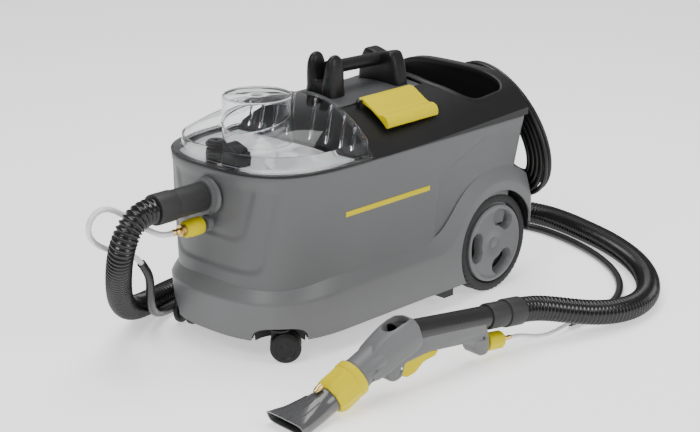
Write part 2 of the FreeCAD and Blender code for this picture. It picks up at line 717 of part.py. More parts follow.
gland_collar = turned("gland_collar", [(4, 11), (13, 11), (13, 18), (9, 20), (6.2, 36), (4, 36)])
gland_neck = turned("gland_neck", [(4, 0), (8.9, 0), (8.9, 16), (4, 16)])
for piece in (gland_collar, gland_neck):
    place(piece, 292, -60, 190, (0, 1, 0), 90)
wall_clear = plain("gland_clear", tank_solid(-0.05, size("foot_z"), size("rim_z")))
keep(fuse("gland", cut("gland_seat", gland_collar, wall_clear), gland_neck), "cord_gland")

hook_arm = box("hook_arm", 325.05, -34, 322, 60, 26, 7)
hook_tip = box("hook_tip", 379, -34, 322, 6, 26, 24)
hook_root = box("hook_root", 325.05, -34, 318, 5, 26, 24)
keep(fuse("hook", hook_arm, hook_tip, hook_root), "cord_hook")

# ---------------------------------------------------------------- rear wheels


def hub(name):
    """A wheel disc: a dished plate with a hub tube and three rounded recesses."""
    body = turned(name, [("axle_radius + fit_gap", 0), (14, 0), (14, 18), (66, 22), (66, 2),
                         ("hub_radius", 2), ("hub_radius", 34), (62, 36), (30, 33), (12, 33),
                         ("axle_radius + fit_gap", 33)])
    return body


def recess(name, turn):
    """A kidney-shaped recess of a wheel disc, swept round the hub between two radii."""
    inner, outer_radius, reach = 30.0, 61.0, 15.0
    middle = (inner + outer_radius) / 2
    round_end = (outer_radius - inner) / 2
    ends = [math.radians(turn - reach), math.radians(turn), math.radians(turn + reach)]
    ring = [[Vector(r * math.cos(a), r * math.sin(a), 26) for a in ends] for r in (inner, outer_radius)]
    caps = []
    for angle, beyond in ((ends[0], -1), (ends[2], 1)):
        centre = Vector(middle * math.cos(angle), middle * math.sin(angle), 26)
        caps.append(centre + Vector(-math.sin(angle), math.cos(angle), 0) * round_end * beyond)
    edges = [Part.Arc(*ring[0]).toShape(), Part.Arc(ring[0][2], caps[1], ring[1][2]).toShape(),
             Part.Arc(*reversed(ring[1])).toShape(), Part.Arc(ring[1][0], caps[0], ring[0][0]).toShape()]
    return plain(name, Part.Face(Part.Wire(edges)).extrude(Vector(0, 0, 20)))


for label, side in (("left", -1), ("right", 1)):
    recesses = [recess(f"{label}_recess_{turn}", turn) for turn in (60, 180, 300)]
    disc = cut(label + "_disc", hub(label + "_hub"), *recesses)
    tyre = turned(label + "_tread", [("hub_radius", 2), ("tyre_radius - 2", 2), ("tyre_radius", 5),
                                     ("tyre_radius", 31), ("tyre_radius - 2", 34), ("hub_radius", 34)])
    for piece, kind in ((disc, "wheel_disc"), (tyre, "tyre")):
        turn = -90 if side > 0 else 90
        start = "wheel_face - wheel_width" if side > 0 else "wheel_width - wheel_face"
        place(piece, "axle_x", start, "tyre_radius", (1, 0, 0), turn)
        keep(piece, f"{label}_{kind}")
axle = rod("axle", "axle_radius", 298, "axle_x", -149, "tyre_radius", "y")
keep(axle, "rear_axle")

# ---------------------------------------------------------------- casters

for label, side, heading in (("left", -1, -45.0), ("right", 1, 20.0)):
    stem = rod(label + "_stem", 5, 26, 0, 0, 36)
    web_cap = rod(label + "_web_cap", 16, 4, 0, 0, 51)
    web = slab(label + "_web", "XZ_Plane", [(-14, 54), (14, 54), (14, 40), (30, 34), (27, 20), (15, 18),
                                            (-6, 22), (-14, 40)], 10)
    web_bore = rod(label + "_web_bore", "3.5 + fit_gap", 30, "caster_trail", -15, "caster_radius", "y")
    caster_fork = cut(label + "_fork", fuse(label + "_fork_form", stem, web_cap, web), web_bore)
    discs = [rod(f"{label}_disc_{start}", "caster_radius", 10, "caster_trail", start, "caster_radius", "y")
             for start in (-16, 6)]
    spindle = rod(label + "_spindle", 3.5, 24, "caster_trail", -12, "caster_radius", "y")
    twin = fuse(label + "_twin", spindle, *discs)
    for piece, kind in ((caster_fork, "fork"), (twin, "wheel")):
        place(piece, "caster_x", size("caster_y") * side, 0, (0, 0, 1), heading)
        keep(piece, f"{label}_caster_{kind}")

# ---------------------------------------------------------------- hand tool

yaw = Rotation(Vector(0, 0, 1), size("tool_yaw"))
TOOL = Placement(Vector(size("tool_x"), size("tool_y"), 0), yaw)
RISING = Rotation(Vector(0, 1, 0), 90 - size("tool_rise"))
FALLING = Rotation(Vector(0, 1, 0), 90 + size("neck_fall"))
TUBE = TOOL.multiply(Placement(Vector(0, 0, size("tool_z")), RISING))
NECK = TOOL.multiply(Placement(Vector(size("neck_from"), 0, size("neck_z")), FALLING))
COUPLER = TOOL.multiply(Placement(Vector(0, 0, size("tool_coupler_z")), RISING))


def seat(obj, frame, label):
    """Keeps a hand-tool piece that was modelled in one of the tool's own frames."""
    obj.Placement = frame.multiply(obj.Placement)
    return keep(obj, label)


tool_cuff = turned("swivel", [(16, 24), (23, 24), (23, 58), (21, 61), (21, 99), ("tube_radius + fit_gap", 99),
                              ("tube_radius + fit_gap", 66), (16, 66)])
seat(tool_cuff, TUBE, "tool_cuff")

tool_tube = cut("tool_pipe", rod("tube_out", "tube_radius", 230, 0, 0, 68),
                rod("tube_in", "tube_radius - 2", 232, 0, 0, 67))
seat(tool_tube, TUBE, "tool_tube")


def tube_block(name, radius):
    """The tube's path through the grip and head, in the tool's upright frame."""
    block = rod(name, radius, 239, 0, 0, 0)
    rise = math.radians(size("tool_rise"))
    block.Placement = Placement(Vector(60 * math.cos(rise), 0, size("tool_z") + 60 * math.sin(rise)), RISING)
    return block


GRIP = [(108, 20), (104, 28), (105, 44), (109, 60), (113, 76), (252, 90), (262, 66), (300, 56), (322, 44),
        (316, 30), (304, 26), (290, 30), (284, 50), (232, 56), (210, 53), (141, 46), (134, 36), (130, 24),
        (124, 18), (112, 18)]
grip_form = slab("grip_form", "XZ_Plane", GRIP, 34)
TRIGGER_SLOT = [(206, 40), (206, 61), (262, 64), (297, 60), (297, 20), (240, 20)]
trigger_slot = slab("trigger_slot", "XZ_Plane", TRIGGER_SLOT, 16.6)
lug_hole = rod("lug_hole", 3.2, 60, 117, -30, 47, "y")
pin_hole = rod("pin_hole", 2, 60, 291, -30, 44, "y")
valve_room = rod("valve_room", 6.2, 62, 0, 0, 0)
valve_room.Placement = Placement(Vector(138, 0, 53), RISING)
barb_bore = rod("barb_bore", 4.5, 60, 0, 0, 0)
barb_rise = 82 * math.tan(math.radians(size("tool_rise")))
barb_bore.Placement = Placement(Vector(82, 0, size("tool_coupler_z") + barb_rise), RISING)
swivel_room = rod("swivel_room", 23.6, 99.6, 0, 0, 0)
swivel_room.Placement = Placement(Vector(0, 0, size("tool_z")), RISING)
grip = cut("grip", grip_form, tube_block("grip_tube", "tube_radius"), swivel_room, trigger_slot, lug_hole,
           pin_hole, valve_room, barb_bore)
seat(grip, TOOL, "tool_grip")

valve = rod("valve", 6, 60, 0, 0, 0)
valve.Placement = Placement(Vector(139, 0, 53.1), RISING)
seat(valve, TOOL, "spray_valve")

TRIGGER = [(296, 50), (296, 40), (284, 27), (272, 22), (256, 25), (238, 38), (213, 42), (208, 49), (222, 51),
           (250, 50), (276, 50)]
trigger_form = slab("trigger_form", "XZ_Plane", TRIGGER, 16)
trigger = cut("trigger", trigger_form, rod("trigger_bore", "2 + fit_gap", 40, 291, -20, 44, "y"))
seat(trigger, TOOL, "tool_trigger")
seat(rod("trigger_axle", 2, 33, 291, -16.5, 44, "y"), TOOL, "trigger_pin")

spring_path = Part.makeHelix(2.1, 8.6, 3.4)
spring_section = Part.Wire([Part.makeCircle(0.5, Vector(3.4, 0, 0), Vector(0, 1, 0))])
spring = plain("spring", Part.Wire(spring_path.Edges).makePipeShell([spring_section], True, True))
spring.Placement = Placement(Vector(232, 0, 51.6), Rotation())
seat(spring, TOOL, "trigger_spring")

HEAD = [(255, 92), (258, 110), (266, 116.5), (278, 117.5), (300, 111), (322, 101), (344, 88), (354, 76),
        (347, 56), (328, 41), (301, 56.6), (263, 66.6)]
head_form = slab("head_form", "XZ_Plane", HEAD, 52)
neck = rod("neck", "neck_radius", 70, 0, 0, 0)
neck.Placement = Placement(Vector(size("neck_from"), 0, size("neck_z")), FALLING)
neck_bore = rod("neck_bore", 19, 90, 0, 0, 0)
neck_bore.Placement = Placement(Vector(size("neck_from") - 16, 0, size("neck_z") + 7.2), FALLING)
window = slab("window", "XY_Plane", [(-25, -9), (-17, -15), (13, -13), (21, -6), (21, 6), (13, 13), (-17, 15),
                                     (-25, 9)], 30)
place(window, 296, 0, 121, (0, 1, 0), 24)
head = cut("head", fuse("head_all", cut("head_less", head_form, tube_block("head_tube", "tube_radius")),
           neck), tube_block("head_tube_again", "tube_radius"), neck_bore, window)
seat(head, TOOL, "tool_head")

nut = turned("nut", [("neck_radius + fit_gap", 34), (28.5, 34), ("nut_radius", 38), ("nut_radius", 80),
                     (26, 88), (22, 88), (22, 79), ("neck_radius + fit_gap", 79)])
seat(nut, NECK, "union_nut")


def oval(z, half_x, half_y, power, shift=0.0):
    """A closed ring across the nozzle: round with power 2, nearly square with a high power."""
    points = []
    for step in range(32):
        angle = 2 * math.pi * step / 32
        along = math.copysign(abs(math.cos(angle)) ** (2 / power), math.cos(angle))
        across = math.copysign(abs(math.sin(angle)) ** (2 / power), math.sin(angle))
        points.append(Vector(shift + half_x * along, half_y * across, z))
    curve = Part.BSplineCurve()
    curve.interpolate(points, PeriodicFlag=True)
    return Part.Wire([curve.toShape()])


def nozzle_solid(wall, beyond):
    """The nozzle's outer form, or the room inside it when a wall is taken off."""
    rings = [oval(70 - beyond, 21.7 - wall, 21.7 - wall, 2), oval(90, 21.7 - wall, 21.7 - wall, 2),
             oval(104, 21.3 - wall, 22.5 - wall, 2, -1.7),
             oval(120, 19 - wall, 27 - wall, 2.4, -4.5), oval(148, 14.5 - wall, 35 - wall, 3.2, -12.3),
             oval(170 + beyond, 12 - wall, 41 - wall, 5, -20)]
    return Part.makeLoft(rings, True, True)


nozzle_form = cut("nozzle_shell", plain("nozzle_outer", nozzle_solid(0, 0)),
                  plain("nozzle_inner", nozzle_solid(3, 1)))
seat(nozzle_form, NECK, "upholstery_nozzle")

tip = turned("tip", [(0, 0), (5, 0), (5, 8), (3, 14), (0, 14)])
tip.Placement = Placement(Vector(-28.6, 0, 92), Rotation())
seat(tip, NECK, "spray_tip")

tool_sleeve = turned("tool_sleeve", [("4.5 + fit_gap", 64), (13, 64), (14.4, 67), (15, 72), (15, 96),
                                     (14, 99), ("4.5 + fit_gap", 99)])
seat(tool_sleeve, COUPLER, "tool_coupler_sleeve")
tool_barb = turned("tool_barb_form", [(0, 40), (3.4, 40), (4.4, 44), (3.4, 48), (4.4, 52), (3.4, 56), (6, 56),
                                      (6, 62), (4.5, 62), (4.5, 120), (0, 120)])
seat(tool_barb, COUPLER, "tool_coupler_barb")

# ---------------------------------------------------------------- screws

SCREW_SPOTS = ((-180, 0), (-60, 120), (-60, -120), (90, 120), (90, -120), (320, 0))
screws = [rod(f"screw_{index}", 3.4, 2.5, x, y, 35.4) for index, (x, y) in enumerate(SCREW_SPOTS)]
keep(fuse("screws", *screws), "housing_screws")

# ---------------------------------------------------------------- hoses and cords

SUCTION_ROUTE = [
    (-383, 0, 259), (-395, 0, 259), (-412, 0.5, 254.5), (-426.5, 2, 242.5), (-435, 5, 225.5),
    (-437, 12, 206), (-431.5, 25, 182), (-419, 44, 154), (-401, 68, 123), (-374, 99, 87), (-337, 132, 55),
    (-294, 162, 34), (-244, 187, 23.5), (-188, 204, 21.5), (-129, 211, 21.5), (-70, 216, 21.5),
    (-11, 212, 21.5), (48, 206, 21.5), (107, 208, 21.5), (166, 214, 21.5), (225, 222, 21.5),
    (284, 222, 21.5), (342, 213, 21.5), (399, 197, 21.5), (453, 174, 21.5), (503, 143, 21.5),
    (547, 105, 21.5), (580, 58, 21.5), (592, 2, 21.5), (584, -56, 21.5), (568, -113, 21.5),
    (550, -169, 21.5), (526, -223, 21.5), (496, -274, 21.5), (460, -320, 21.5), (414, -363, 21.5),
    (362, -396, 21.8), (306, -411.5, 22.8), (252, -409, 27), (206, -396.5, 34.5), (166, -379, 44.5),
    (130, -363, 54.5), (94.48, -352.67, 61.78), (69.03, -350.45, 64.6)]
keep(tube("suction", SUCTION_ROUTE, size("hose_radius")), "suction_hose")

SHEATH_ROUTE = [
    (-363, 57, 155), (-351, 59, 140), (-338, 67, 118), (-325, 84, 91), (-306, 107, 59), (-278, 134, 30),
    (-243, 157, 11.5), (-199, 171, 7.3), (-150, 178, 7.3), (-96, 182, 7.3), (-42, 182, 7.3),
    (12, 177, 7.3), (66, 175, 7.3), (120, 180, 7.3), (174, 188, 7.3), (228, 192, 7.3),
    (282, 190, 7.3), (334, 181, 7.3), (384, 165, 7.3),
    (431, 143, 7.3), (474, 115, 7.3), (512, 81, 7.3), (541, 39, 7.3), (552, -12, 7.3), (546, -64, 7.3),
    (533, -114, 7.3), (514, -164, 7.3), (490, -211, 7.3), (460, -255, 7.3), (424, -294, 7.3),
    (382, -326, 7.3), (335, -349, 7.3), (286, -358, 7.3), (238, -360, 8), (194, -360, 11)]
keep(tube("sheath", SHEATH_ROUTE, size("sheath_radius")), "hose_sheath")

SPRAY_FRONT = [
    (-347, 0, 213.5), (-359, 0, 213.5), (-370.5, 5, 216.5), (-381, 14, 223), (-391, 25, 232), (-401, 35, 242),
    (-414, 42.5, 252.5), (-429, 46.5, 261.5), (-446, 48.5, 263.5), (-460.5, 49.5, 256), (-468, 51, 242),
    (-465.5, 53, 225.5), (-454, 55, 211), (-438, 56.5, 199.5), (-420, 57, 190), (-401, 56.5, 182.5),
    (-384.5, 55.8, 174.5), (-371.1, 55.7, 165.1), (-363, 57, 155)]
SPRAY_TOOL = [
    (194, -360, 11), (176.5, -361.5, 10.6), (158.5, -361.2, 8), (140.5, -359, 6.2), (122.5, -356, 7),
    (105, -353.4, 11), (88, -351.8, 16.6), (71.2, -350.6, 21.36), (52.9, -349.03, 23.39)]


def join_ends(route, end):
    """The route with its last point at the given end."""
    return route[:-1] + [tuple(end)]


tool_end = COUPLER.multVec(Vector(0, 0, 40))
keep(tube("spray_front", SPRAY_FRONT, size("spray_radius")), "spray_hose_front")
SPRAY_TOOL_END = join_ends(SPRAY_TOOL, (round(tool_end.x, 2), round(tool_end.y, 2), round(tool_end.z, 2)))
keep(tube("spray_tool", SPRAY_TOOL_END, size("spray_radius") - 1.2), "spray_hose_tool")

# mains cord: the lead up from the gland, the hank on the hook, and the tail down to the plug
LEAD_ROUTE = [(328, -60, 190), (336, -60, 190), (349.75, -57.4, 191.7), (361.25, -50.6, 196.2),
              (368.8, -40.6, 202.7), (371.1, -28.9, 210.3)]
keep(tube("lead", LEAD_ROUTE, size("cord_radius")), "power_lead")

# the hank is an oval bundle that hangs tilted across the hook
hank_path = Part.Wire([Part.Ellipse(Vector(0, 0, 0), size("hank_long"), size("hank_short")).toShape()])
hank_ring = Part.Wire([Part.Ellipse(Vector(0, 0, 0), 18, 14).toShape()])
hank_ring.Placement = Placement(Vector(size("hank_long"), 0, 0), Rotation(Vector(1, 0, 0), 90))
hank = plain("hank", hank_path.makePipeShell([hank_ring], True, True))
upright = Rotation(Vector(0, 1, 0), -90)
hank.Placement = Placement(Vector(size("hank_x"), size("hank_y"), size("hank_z")),
                           Rotation(Vector(1, 0, 0), -size("hank_tilt")).multiply(upright))
keep(hank, "cord_hank")

# plug, hanging pins down from the tail of the lead behind the machine
TAIL_ROUTE = [(366, 14, 252), (366, 24, 238), (366, 33, 222), (366, 39, 204), (366, 41, 185), (366, 41, 168)]
keep(tube("tail", TAIL_ROUTE, size("cord_radius")), "plug_tail")
plug = turned("plug", [(0, 0), (18, 0), (18, 18), (14, 30), (9, 36), (8, 46), (5.5, 62), (0, 62)])
plug_holes = fuse("plug_holes", rod("plug_hole_a", 2, 12, 0, -9.5, 0), rod("plug_hole_b", 2, 12, 0, 9.5, 0))
keep(place(cut("plug_cut", plug, plug_holes), 366, 41, 106), "mains_plug")
pins = fuse("pins", rod("pin_a", 2.4, 18.7, 0, -9.5, -19), rod("pin_b", 2.4, 18.7, 0, 9.5, -19),
            rod("root_a", 2, 12.3, 0, -9.5, -0.3), rod("root_b", 2, 12.3, 0, 9.5, -0.3))
keep(place(pins, 366, 41, 106), "plug_pins")

doc.recompute()
for obj in doc.Objects:
    if any(state in ("Invalid", "Error") for state in obj.State):
        raise SystemExit(f"{obj.Name} did not compute: {obj.State}")
for piece in pieces:
    if piece.Shape.isNull() or not piece.Shape.isValid():
        raise SystemExit(f"{piece.Label} has no valid shape")
os.makedirs("parts", exist_ok=True)
for piece in pieces:
    piece.Shape.exportStep(f"parts/{piece.Label}.step")
    print(piece.Label, len(piece.Shape.Solids))
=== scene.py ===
from math import atan2, copysign, cos, degrees, hypot, pi, radians, sin, sqrt

import bmesh
import bpy
from mathutils import Matrix, Vector


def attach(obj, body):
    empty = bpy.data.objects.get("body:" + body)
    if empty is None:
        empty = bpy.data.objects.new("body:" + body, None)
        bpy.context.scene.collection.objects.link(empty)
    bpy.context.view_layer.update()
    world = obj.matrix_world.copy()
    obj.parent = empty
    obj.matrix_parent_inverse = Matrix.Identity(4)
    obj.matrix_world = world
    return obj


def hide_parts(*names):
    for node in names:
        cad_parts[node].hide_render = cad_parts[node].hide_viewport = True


# Spot extractor with its hoses and hand tool. Lengths are in metres up to the lower housing, and in
# millimetres wherever MM or spot places a piece. Shapes are worked out in the machine's own axes,
# from its middle on the floor: -X is the front, -Y the side the hand tool lies on. MACHINE takes
# them to the row's origin, which is in the middle of the machine and its hand tool.
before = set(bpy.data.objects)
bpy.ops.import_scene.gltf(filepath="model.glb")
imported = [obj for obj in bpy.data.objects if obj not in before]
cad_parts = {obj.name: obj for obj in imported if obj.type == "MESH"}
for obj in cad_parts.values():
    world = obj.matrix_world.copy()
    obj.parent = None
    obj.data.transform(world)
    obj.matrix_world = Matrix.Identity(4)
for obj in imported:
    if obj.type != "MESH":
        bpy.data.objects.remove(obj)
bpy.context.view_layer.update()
MACHINE = Matrix.Translation((0.0156, 0.1066, 0.0))


# ---- camera, light and floor

link = bpy.context.scene.collection.objects.link
camera_data = bpy.data.cameras.new("camera")
camera_data.lens = 93.52
camera_data.sensor_width = 36.0
camera = bpy.data.objects.new("camera", camera_data)
camera.location = MACHINE @ Vector((-2.07002, -2.02295, 1.10555))
camera.rotation_euler = (radians(71.9), 0.0, radians(-46.32))
link(camera)
bpy.context.scene.camera = camera


def area_light(name, place, aim, size, power):
    """A soft square light at a place, pointed at another."""
    data = bpy.data.lights.new(name, "AREA")
    data.size = size
    data.energy = power
    light = bpy.data.objects.new(name, data)
    light.location = place
    light.rotation_euler = (Vector(aim) - Vector(place)).to_track_quat("-Z", "Y").to_euler()
    link(light)


area_light("key_light", (-2.6, -0.6, 2.6), (0, 0, 0.2), 1.3, 56)
area_light("side_light", (0.6, -3.0, 1.7), (0, 0, 0.2), 1.6, 44)
area_light("top_light", (0.4, 0.4, 3.2), (0, 0, 0), 2.2, 84)
world = bpy.data.worlds.new("studio")
world.use_nodes = True
world.node_tree.nodes["Background"].inputs["Color"].default_value = (1.0, 1.0, 1.0, 1.0)
world.node_tree.nodes["Background"].inputs["Strength"].default_value = 0.4
bpy.context.scene.world = world


# ---- materials


def preset(node, values):
    """Sets a node's inputs to constants, and gives the node back."""
    for socket, value in values.items():
        node.inputs[socket].default_value = value
    return node


def surface(name, colour, rough, grain=0.1, grain_size=0.0009, wear=0.12, vary=0.06, coat=0.0,
            metal=0.0, through=0.0, ior=1.46, milk=0.0, gloss=0.5):
    """A moulded or drawn material: colour that drifts a little, fine grain, and paler worn edges."""
    material = bpy.data.materials.new(name)
    material.use_nodes = True
    nodes = material.node_tree.nodes
    shader = preset(nodes["Principled BSDF"], {
        "Metallic": metal, "IOR": ior, "Specular IOR Level": gloss, "Coat Weight": coat,
        "Coat Roughness": 0.12, "Transmission Weight": through, "Subsurface Weight": milk,
        "Subsurface Scale": 0.004})

    def new(kind, values):
        return preset(nodes.new("ShaderNode" + kind), values)

    def join(source, out, target, into):
        material.node_tree.links.new(source.outputs[out], target.inputs[into])

    def mix(blend, values):
        made = nodes.new("ShaderNodeMix")
        made.data_type = "RGBA"
        made.blend_type = blend
        return preset(made, values)

    where = new("TexCoord", {})
    form = new("NewGeometry", {})
    drift = new("TexNoise", {"Scale": 9.0, "Detail": 4.0})
    smear = new("TexNoise", {"Scale": 38.0, "Detail": 5.0})
    pebbles = new("TexNoise", {"Scale": 1.0 / grain_size, "Detail": 2.0})
    for noise in (drift, smear, pebbles):
        join(where, "Object", noise, "Vector")
    tone = new("MapRange", {"To Min": 1.0 - vary, "To Max": 1.0 + vary})
    join(drift, "Fac", tone, "Value")
    tinted = mix("MULTIPLY", {"Factor": 1.0, "A": (*colour, 1.0)})
    join(tone, "Result", tinted, "B")
    edge = new("MapRange", {"From Min": 0.53, "From Max": 0.66, "To Max": wear})
    join(form, "Pointiness", edge, "Value")
    worn = mix("MIX", {"B": (*[min(1.0, c * 1.35 + 0.05) for c in colour], 1.0)})
    join(edge, "Result", worn, "Factor")
    join(tinted, "Result", worn, "A")
    join(worn, "Result", shader, "Base Color")
    polish = new("MapRange", {"To Min": max(0.0, rough - 0.06), "To Max": min(1.0, rough + 0.06)})
    join(smear, "Fac", polish, "Value")
    join(polish, "Result", shader, "Roughness")
    bump = new("Bump", {"Strength": grain, "Distance": 0.0004})
    join(pebbles, "Fac", bump, "Height")
    join(bump, "Normal", shader, "Normal")
    return material


GREY = surface("grey_plastic", (0.094, 0.096, 0.099), 0.46, grain=0.22)
LIGHT_GREY = surface("light_grey_plastic", (0.118, 0.12, 0.123), 0.44, grain=0.2)
DECK_GREY = surface("deck_grey_plastic", (0.05, 0.051, 0.054), 0.5, grain=0.25)
HUB_GREY = surface("hub_grey_plastic", (0.125, 0.127, 0.131), 0.42, grain=0.18)
BLACK = surface("black_plastic", (0.009, 0.009, 0.0095), 0.36, grain=0.3, wear=0.04, gloss=0.3)
TUBE_BLACK = surface("tube_plastic", (0.014, 0.014, 0.0145), 0.3, grain=0.15, wear=0.04, gloss=0.45)
# painted shade: near-black for the wheel wells, the discs behind the hubs' recesses and the caster cups,
# standing in for the shadow in them
SHADE_BLACK = surface("painted_shade_black", (0.007, 0.007, 0.007), 0.55, grain=0.2, wear=0.02)
YELLOW = surface("yellow_plastic", (0.62, 0.51, 0.0), 0.4, grain=0.1, wear=0.0, vary=0.015, gloss=0.12)
CLEAR = surface("clear_plastic", (0.95, 0.96, 0.97), 0.05, grain=0.0, wear=0.0, vary=0.01, through=1.0,
                ior=1.22)
SMOKE = surface("smoke_plastic", (0.07, 0.07, 0.073), 0.2, grain=0.05, wear=0.05, coat=0.3)
MILK = surface("milky_plastic", (0.8, 0.81, 0.81), 0.34, grain=0.08, wear=0.0, vary=0.03, milk=0.2)
HOSE_MILK = surface("milky_hose", (0.74, 0.75, 0.75), 0.22, grain=0.03, wear=0.0, vary=0.05, milk=0.3,
                    coat=0.4)
RUBBER = surface("black_rubber", (0.014, 0.014, 0.0145), 0.6, grain=0.3, wear=0.06, gloss=0.3)
CUFF = surface("cuff_plastic", (0.026, 0.026, 0.027), 0.5, grain=0.25, wear=0.06, gloss=0.35)
TYRE = surface("tyre_rubber", (0.022, 0.022, 0.023), 0.62, grain=0.4, wear=0.08, gloss=0.35)
HOSE = surface("ribbed_hose", (0.006, 0.006, 0.006), 0.2, grain=0.03, wear=0.03, gloss=0.5)
BRAID = surface("braided_sleeve", (0.009, 0.009, 0.009), 0.3, grain=0.9, grain_size=0.0035, wear=0.1)
CORD = surface("cord_rubber", (0.008, 0.0078, 0.0075), 0.34, grain=0.15, wear=0.03)
STEEL = surface("steel", (0.6, 0.6, 0.62), 0.3, grain=0.05, wear=0.1, metal=1.0)
BRASS = surface("brass", (0.7, 0.5, 0.2), 0.3, grain=0.05, wear=0.1, metal=1.0)

# kinds of piece: (body, material, slot)
FIXED_BLACK = ("machine", BLACK, "black_plastic")
FIXED_GREY = ("machine", LIGHT_GREY, "grey_plastic")
FIXED_MILK = ("machine", MILK, "milky_plastic")
FIXED_SHADE = ("machine", SHADE_BLACK, "black_plastic")
FIXED_SMOKE = ("machine", SMOKE, "clear_plastic")
FIXED_CORD = ("machine", CORD, "cord_rubber")
FIXED_BRAID = ("machine", BRAID, "cord_rubber")
FIXED_HOSE = ("machine", HOSE, "hose_plastic")
FIXED_SPRAY = ("machine", HOSE_MILK, "hose_plastic")
LID_CLEAR = ("lid", CLEAR, "clear_plastic")


# ---- mesh helpers


def placed(name, data, kind):
    """Puts a mesh or a curve in the scene as a piece of one kind, with the kind's body and material; the
    kind's slot is not used.
    """
    body, material, slot = kind
    data.materials.append(material)
    piece = bpy.data.objects.new(name, data)
    link(piece)
    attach(piece, body)
    return piece


def make(name, verts, faces, kind, at=MACHINE, sharp=32.0):
    """One piece from points and faces, with its normals outwards and its sharp edges marked."""
    mesh = bpy.data.meshes.new(name)
    mesh.from_pydata([at @ Vector(v) for v in verts], [], faces)
    work = bmesh.new()
    work.from_mesh(mesh)
    bmesh.ops.remove_doubles(work, verts=work.verts, dist=1e-6)
    bmesh.ops.dissolve_degenerate(work, edges=work.edges, dist=1e-7)
    bmesh.ops.recalc_face_normals(work, faces=work.faces)
    work.to_mesh(mesh)
    work.free()
    mesh.shade_smooth()
    if sharp:
        mesh.set_sharp_from_angle(angle=radians(sharp))
    return placed(name, mesh, kind)


def ring_faces(count, rings, closed=False, caps=True):
    """Faces between rings of points, with the first and last ring capped or joined."""
    faces = []
    last = rings if closed else rings - 1
    for level in range(last):
        low = level * count
        high = ((level + 1) % rings) * count
        for step in range(count):
            after = (step + 1) % count
            faces.append((low + step, low + after, high + after, high + step))
    if caps and not closed:
        faces.append(tuple(reversed(range(count))))
        faces.append(tuple(range((rings - 1) * count, rings * count)))
    return faces


def loft(name, rings, kind, at=MACHINE, sharp=32.0, closed=False, caps=True):
    """A skin through rings that all have as many points."""
    verts = [point for ring in rings for point in ring]
    return make(name, verts, ring_faces(len(rings[0]), len(rings), closed, caps), kind, at, sharp)


def turned(angle, profile):
    """The points of a (radius, height) profile at an angle about Z."""
    return [(r * cos(angle), r * sin(angle), z) for r, z in profile]


def lathe(name, profile, kind, at=MACHINE, steps=96, sharp=32.0):
    """A closed (radius, height) profile turned about Z."""
    rings = [turned(2 * pi * step / steps, profile) for step in range(steps)]
    return loft(name, rings, kind, at, sharp, closed=True)


def bore(radius, low, high, at, steps=96):
    """A round cutter between two heights."""
    return lathe("bore", [(0, low), (radius, low), (radius, high), (0, high)], FIXED_BLACK, at, steps)


# how a point of a flat outline and a place across it make a point in space
AXES = {"XZ": lambda a, b, t: (a, t, b),
        "YZ": lambda a, b, t: (t, a, b),
        "XY": lambda a, b, t: (a, b, t)}


def prism(name, outline, low, high, kind, at=MACHINE, plane="XZ"):
    """A flat outline given thickness along the axis its plane leaves out."""
    rings = [[AXES[plane](a, b, t) for a, b in outline] for t in (low, high)]
    return loft(name, rings, kind, at, sharp=0)


def soften(piece, width, segments=3):
    """Rounds a piece's edges, as a mould does."""
    bevel = piece.modifiers.new("round", "BEVEL")
    bevel.width = width
    bevel.segments = segments
    bevel.limit_method = "ANGLE"
    bevel.angle_limit = radians(28.0)
    bevel.use_clamp_overlap = True
    weight = piece.modifiers.new("shade", "WEIGHTED_NORMAL")
    weight.keep_sharp = False
    return piece


def carve(piece, *cutters):
    """Cuts pieces out of another and throws the cutters away."""
    for cutter in cutters:
        cutting = piece.modifiers.new("cut", "BOOLEAN")
        cutting.operation = "DIFFERENCE"
        cutting.solver = "EXACT"
        cutting.object = cutter
        settle(piece)
        bpy.data.objects.remove(cutter)
    return piece


def evaluated(piece):
    """A fresh mesh of a piece as its modifiers leave it."""
    bpy.context.view_layer.update()
    return bpy.data.meshes.new_from_object(piece.evaluated_get(bpy.context.evaluated_depsgraph_get()))


def settle(piece):
    """Applies a piece's modifiers to its mesh."""
    mesh = evaluated(piece)
    piece.modifiers.clear()
    piece.data = mesh
    return piece


def refined(name, node, kind, width, segments):
    """A CAD node's own form with its flats merged and its edges rounded."""
    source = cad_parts[node].data
    work = bmesh.new()
    work.from_mesh(source)
    bmesh.ops.remove_doubles(work, verts=work.verts, dist=1e-6)
    bmesh.ops.dissolve_limit(work, angle_limit=radians(1.0), verts=work.verts, edges=work.edges)
    mesh = bpy.data.meshes.new(name)
    work.to_mesh(mesh)
    work.free()
    mesh.shade_smooth()
    piece = placed(name, mesh, kind)
    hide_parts(node)
    return soften(piece, width, segments)


# ---- cords and hoses


def spline(name, points, thickness, kind):
    """A round cord along a smooth line drawn by its control points."""
    data = bpy.data.curves.new(name, "CURVE")
    data.dimensions = "3D"
    data.bevel_depth = thickness / 2
    data.bevel_resolution = 5
    data.use_fill_caps = True
    data.resolution_u = 10
    line = data.splines.new("NURBS")
    line.points.add(len(points) - 1)
    for point, place in zip(line.points, points):
        point.co = (*(MACHINE @ Vector(place)), 1.0)
    line.order_u = 3
    line.use_endpoint_u = True
    return placed(name, data, kind)


def centreline(cord):
    """The points of a cord's own line. The cord loses its thickness."""
    cord.data.bevel_depth = 0.0
    return [vertex.co.copy() for vertex in evaluated(cord).vertices]


def evenly(points, spacing):
    """Points a fixed distance apart along a line."""
    spaced = [points[0]]
    left = spacing
    for before, after in zip(points, points[1:]):
        run = (after - before).length
        while run >= left > 0:
            before = before + (after - before) * (left / run)
            run -= left
            spaced.append(before)
            left = spacing
        left -= run
    return spaced


def metres(points, low=0.0):
    """Points given in millimetres, in metres. A point given without its height gets the low one."""
    return [tuple(value / 1000 for value in (*point, low)[:3]) for point in points]


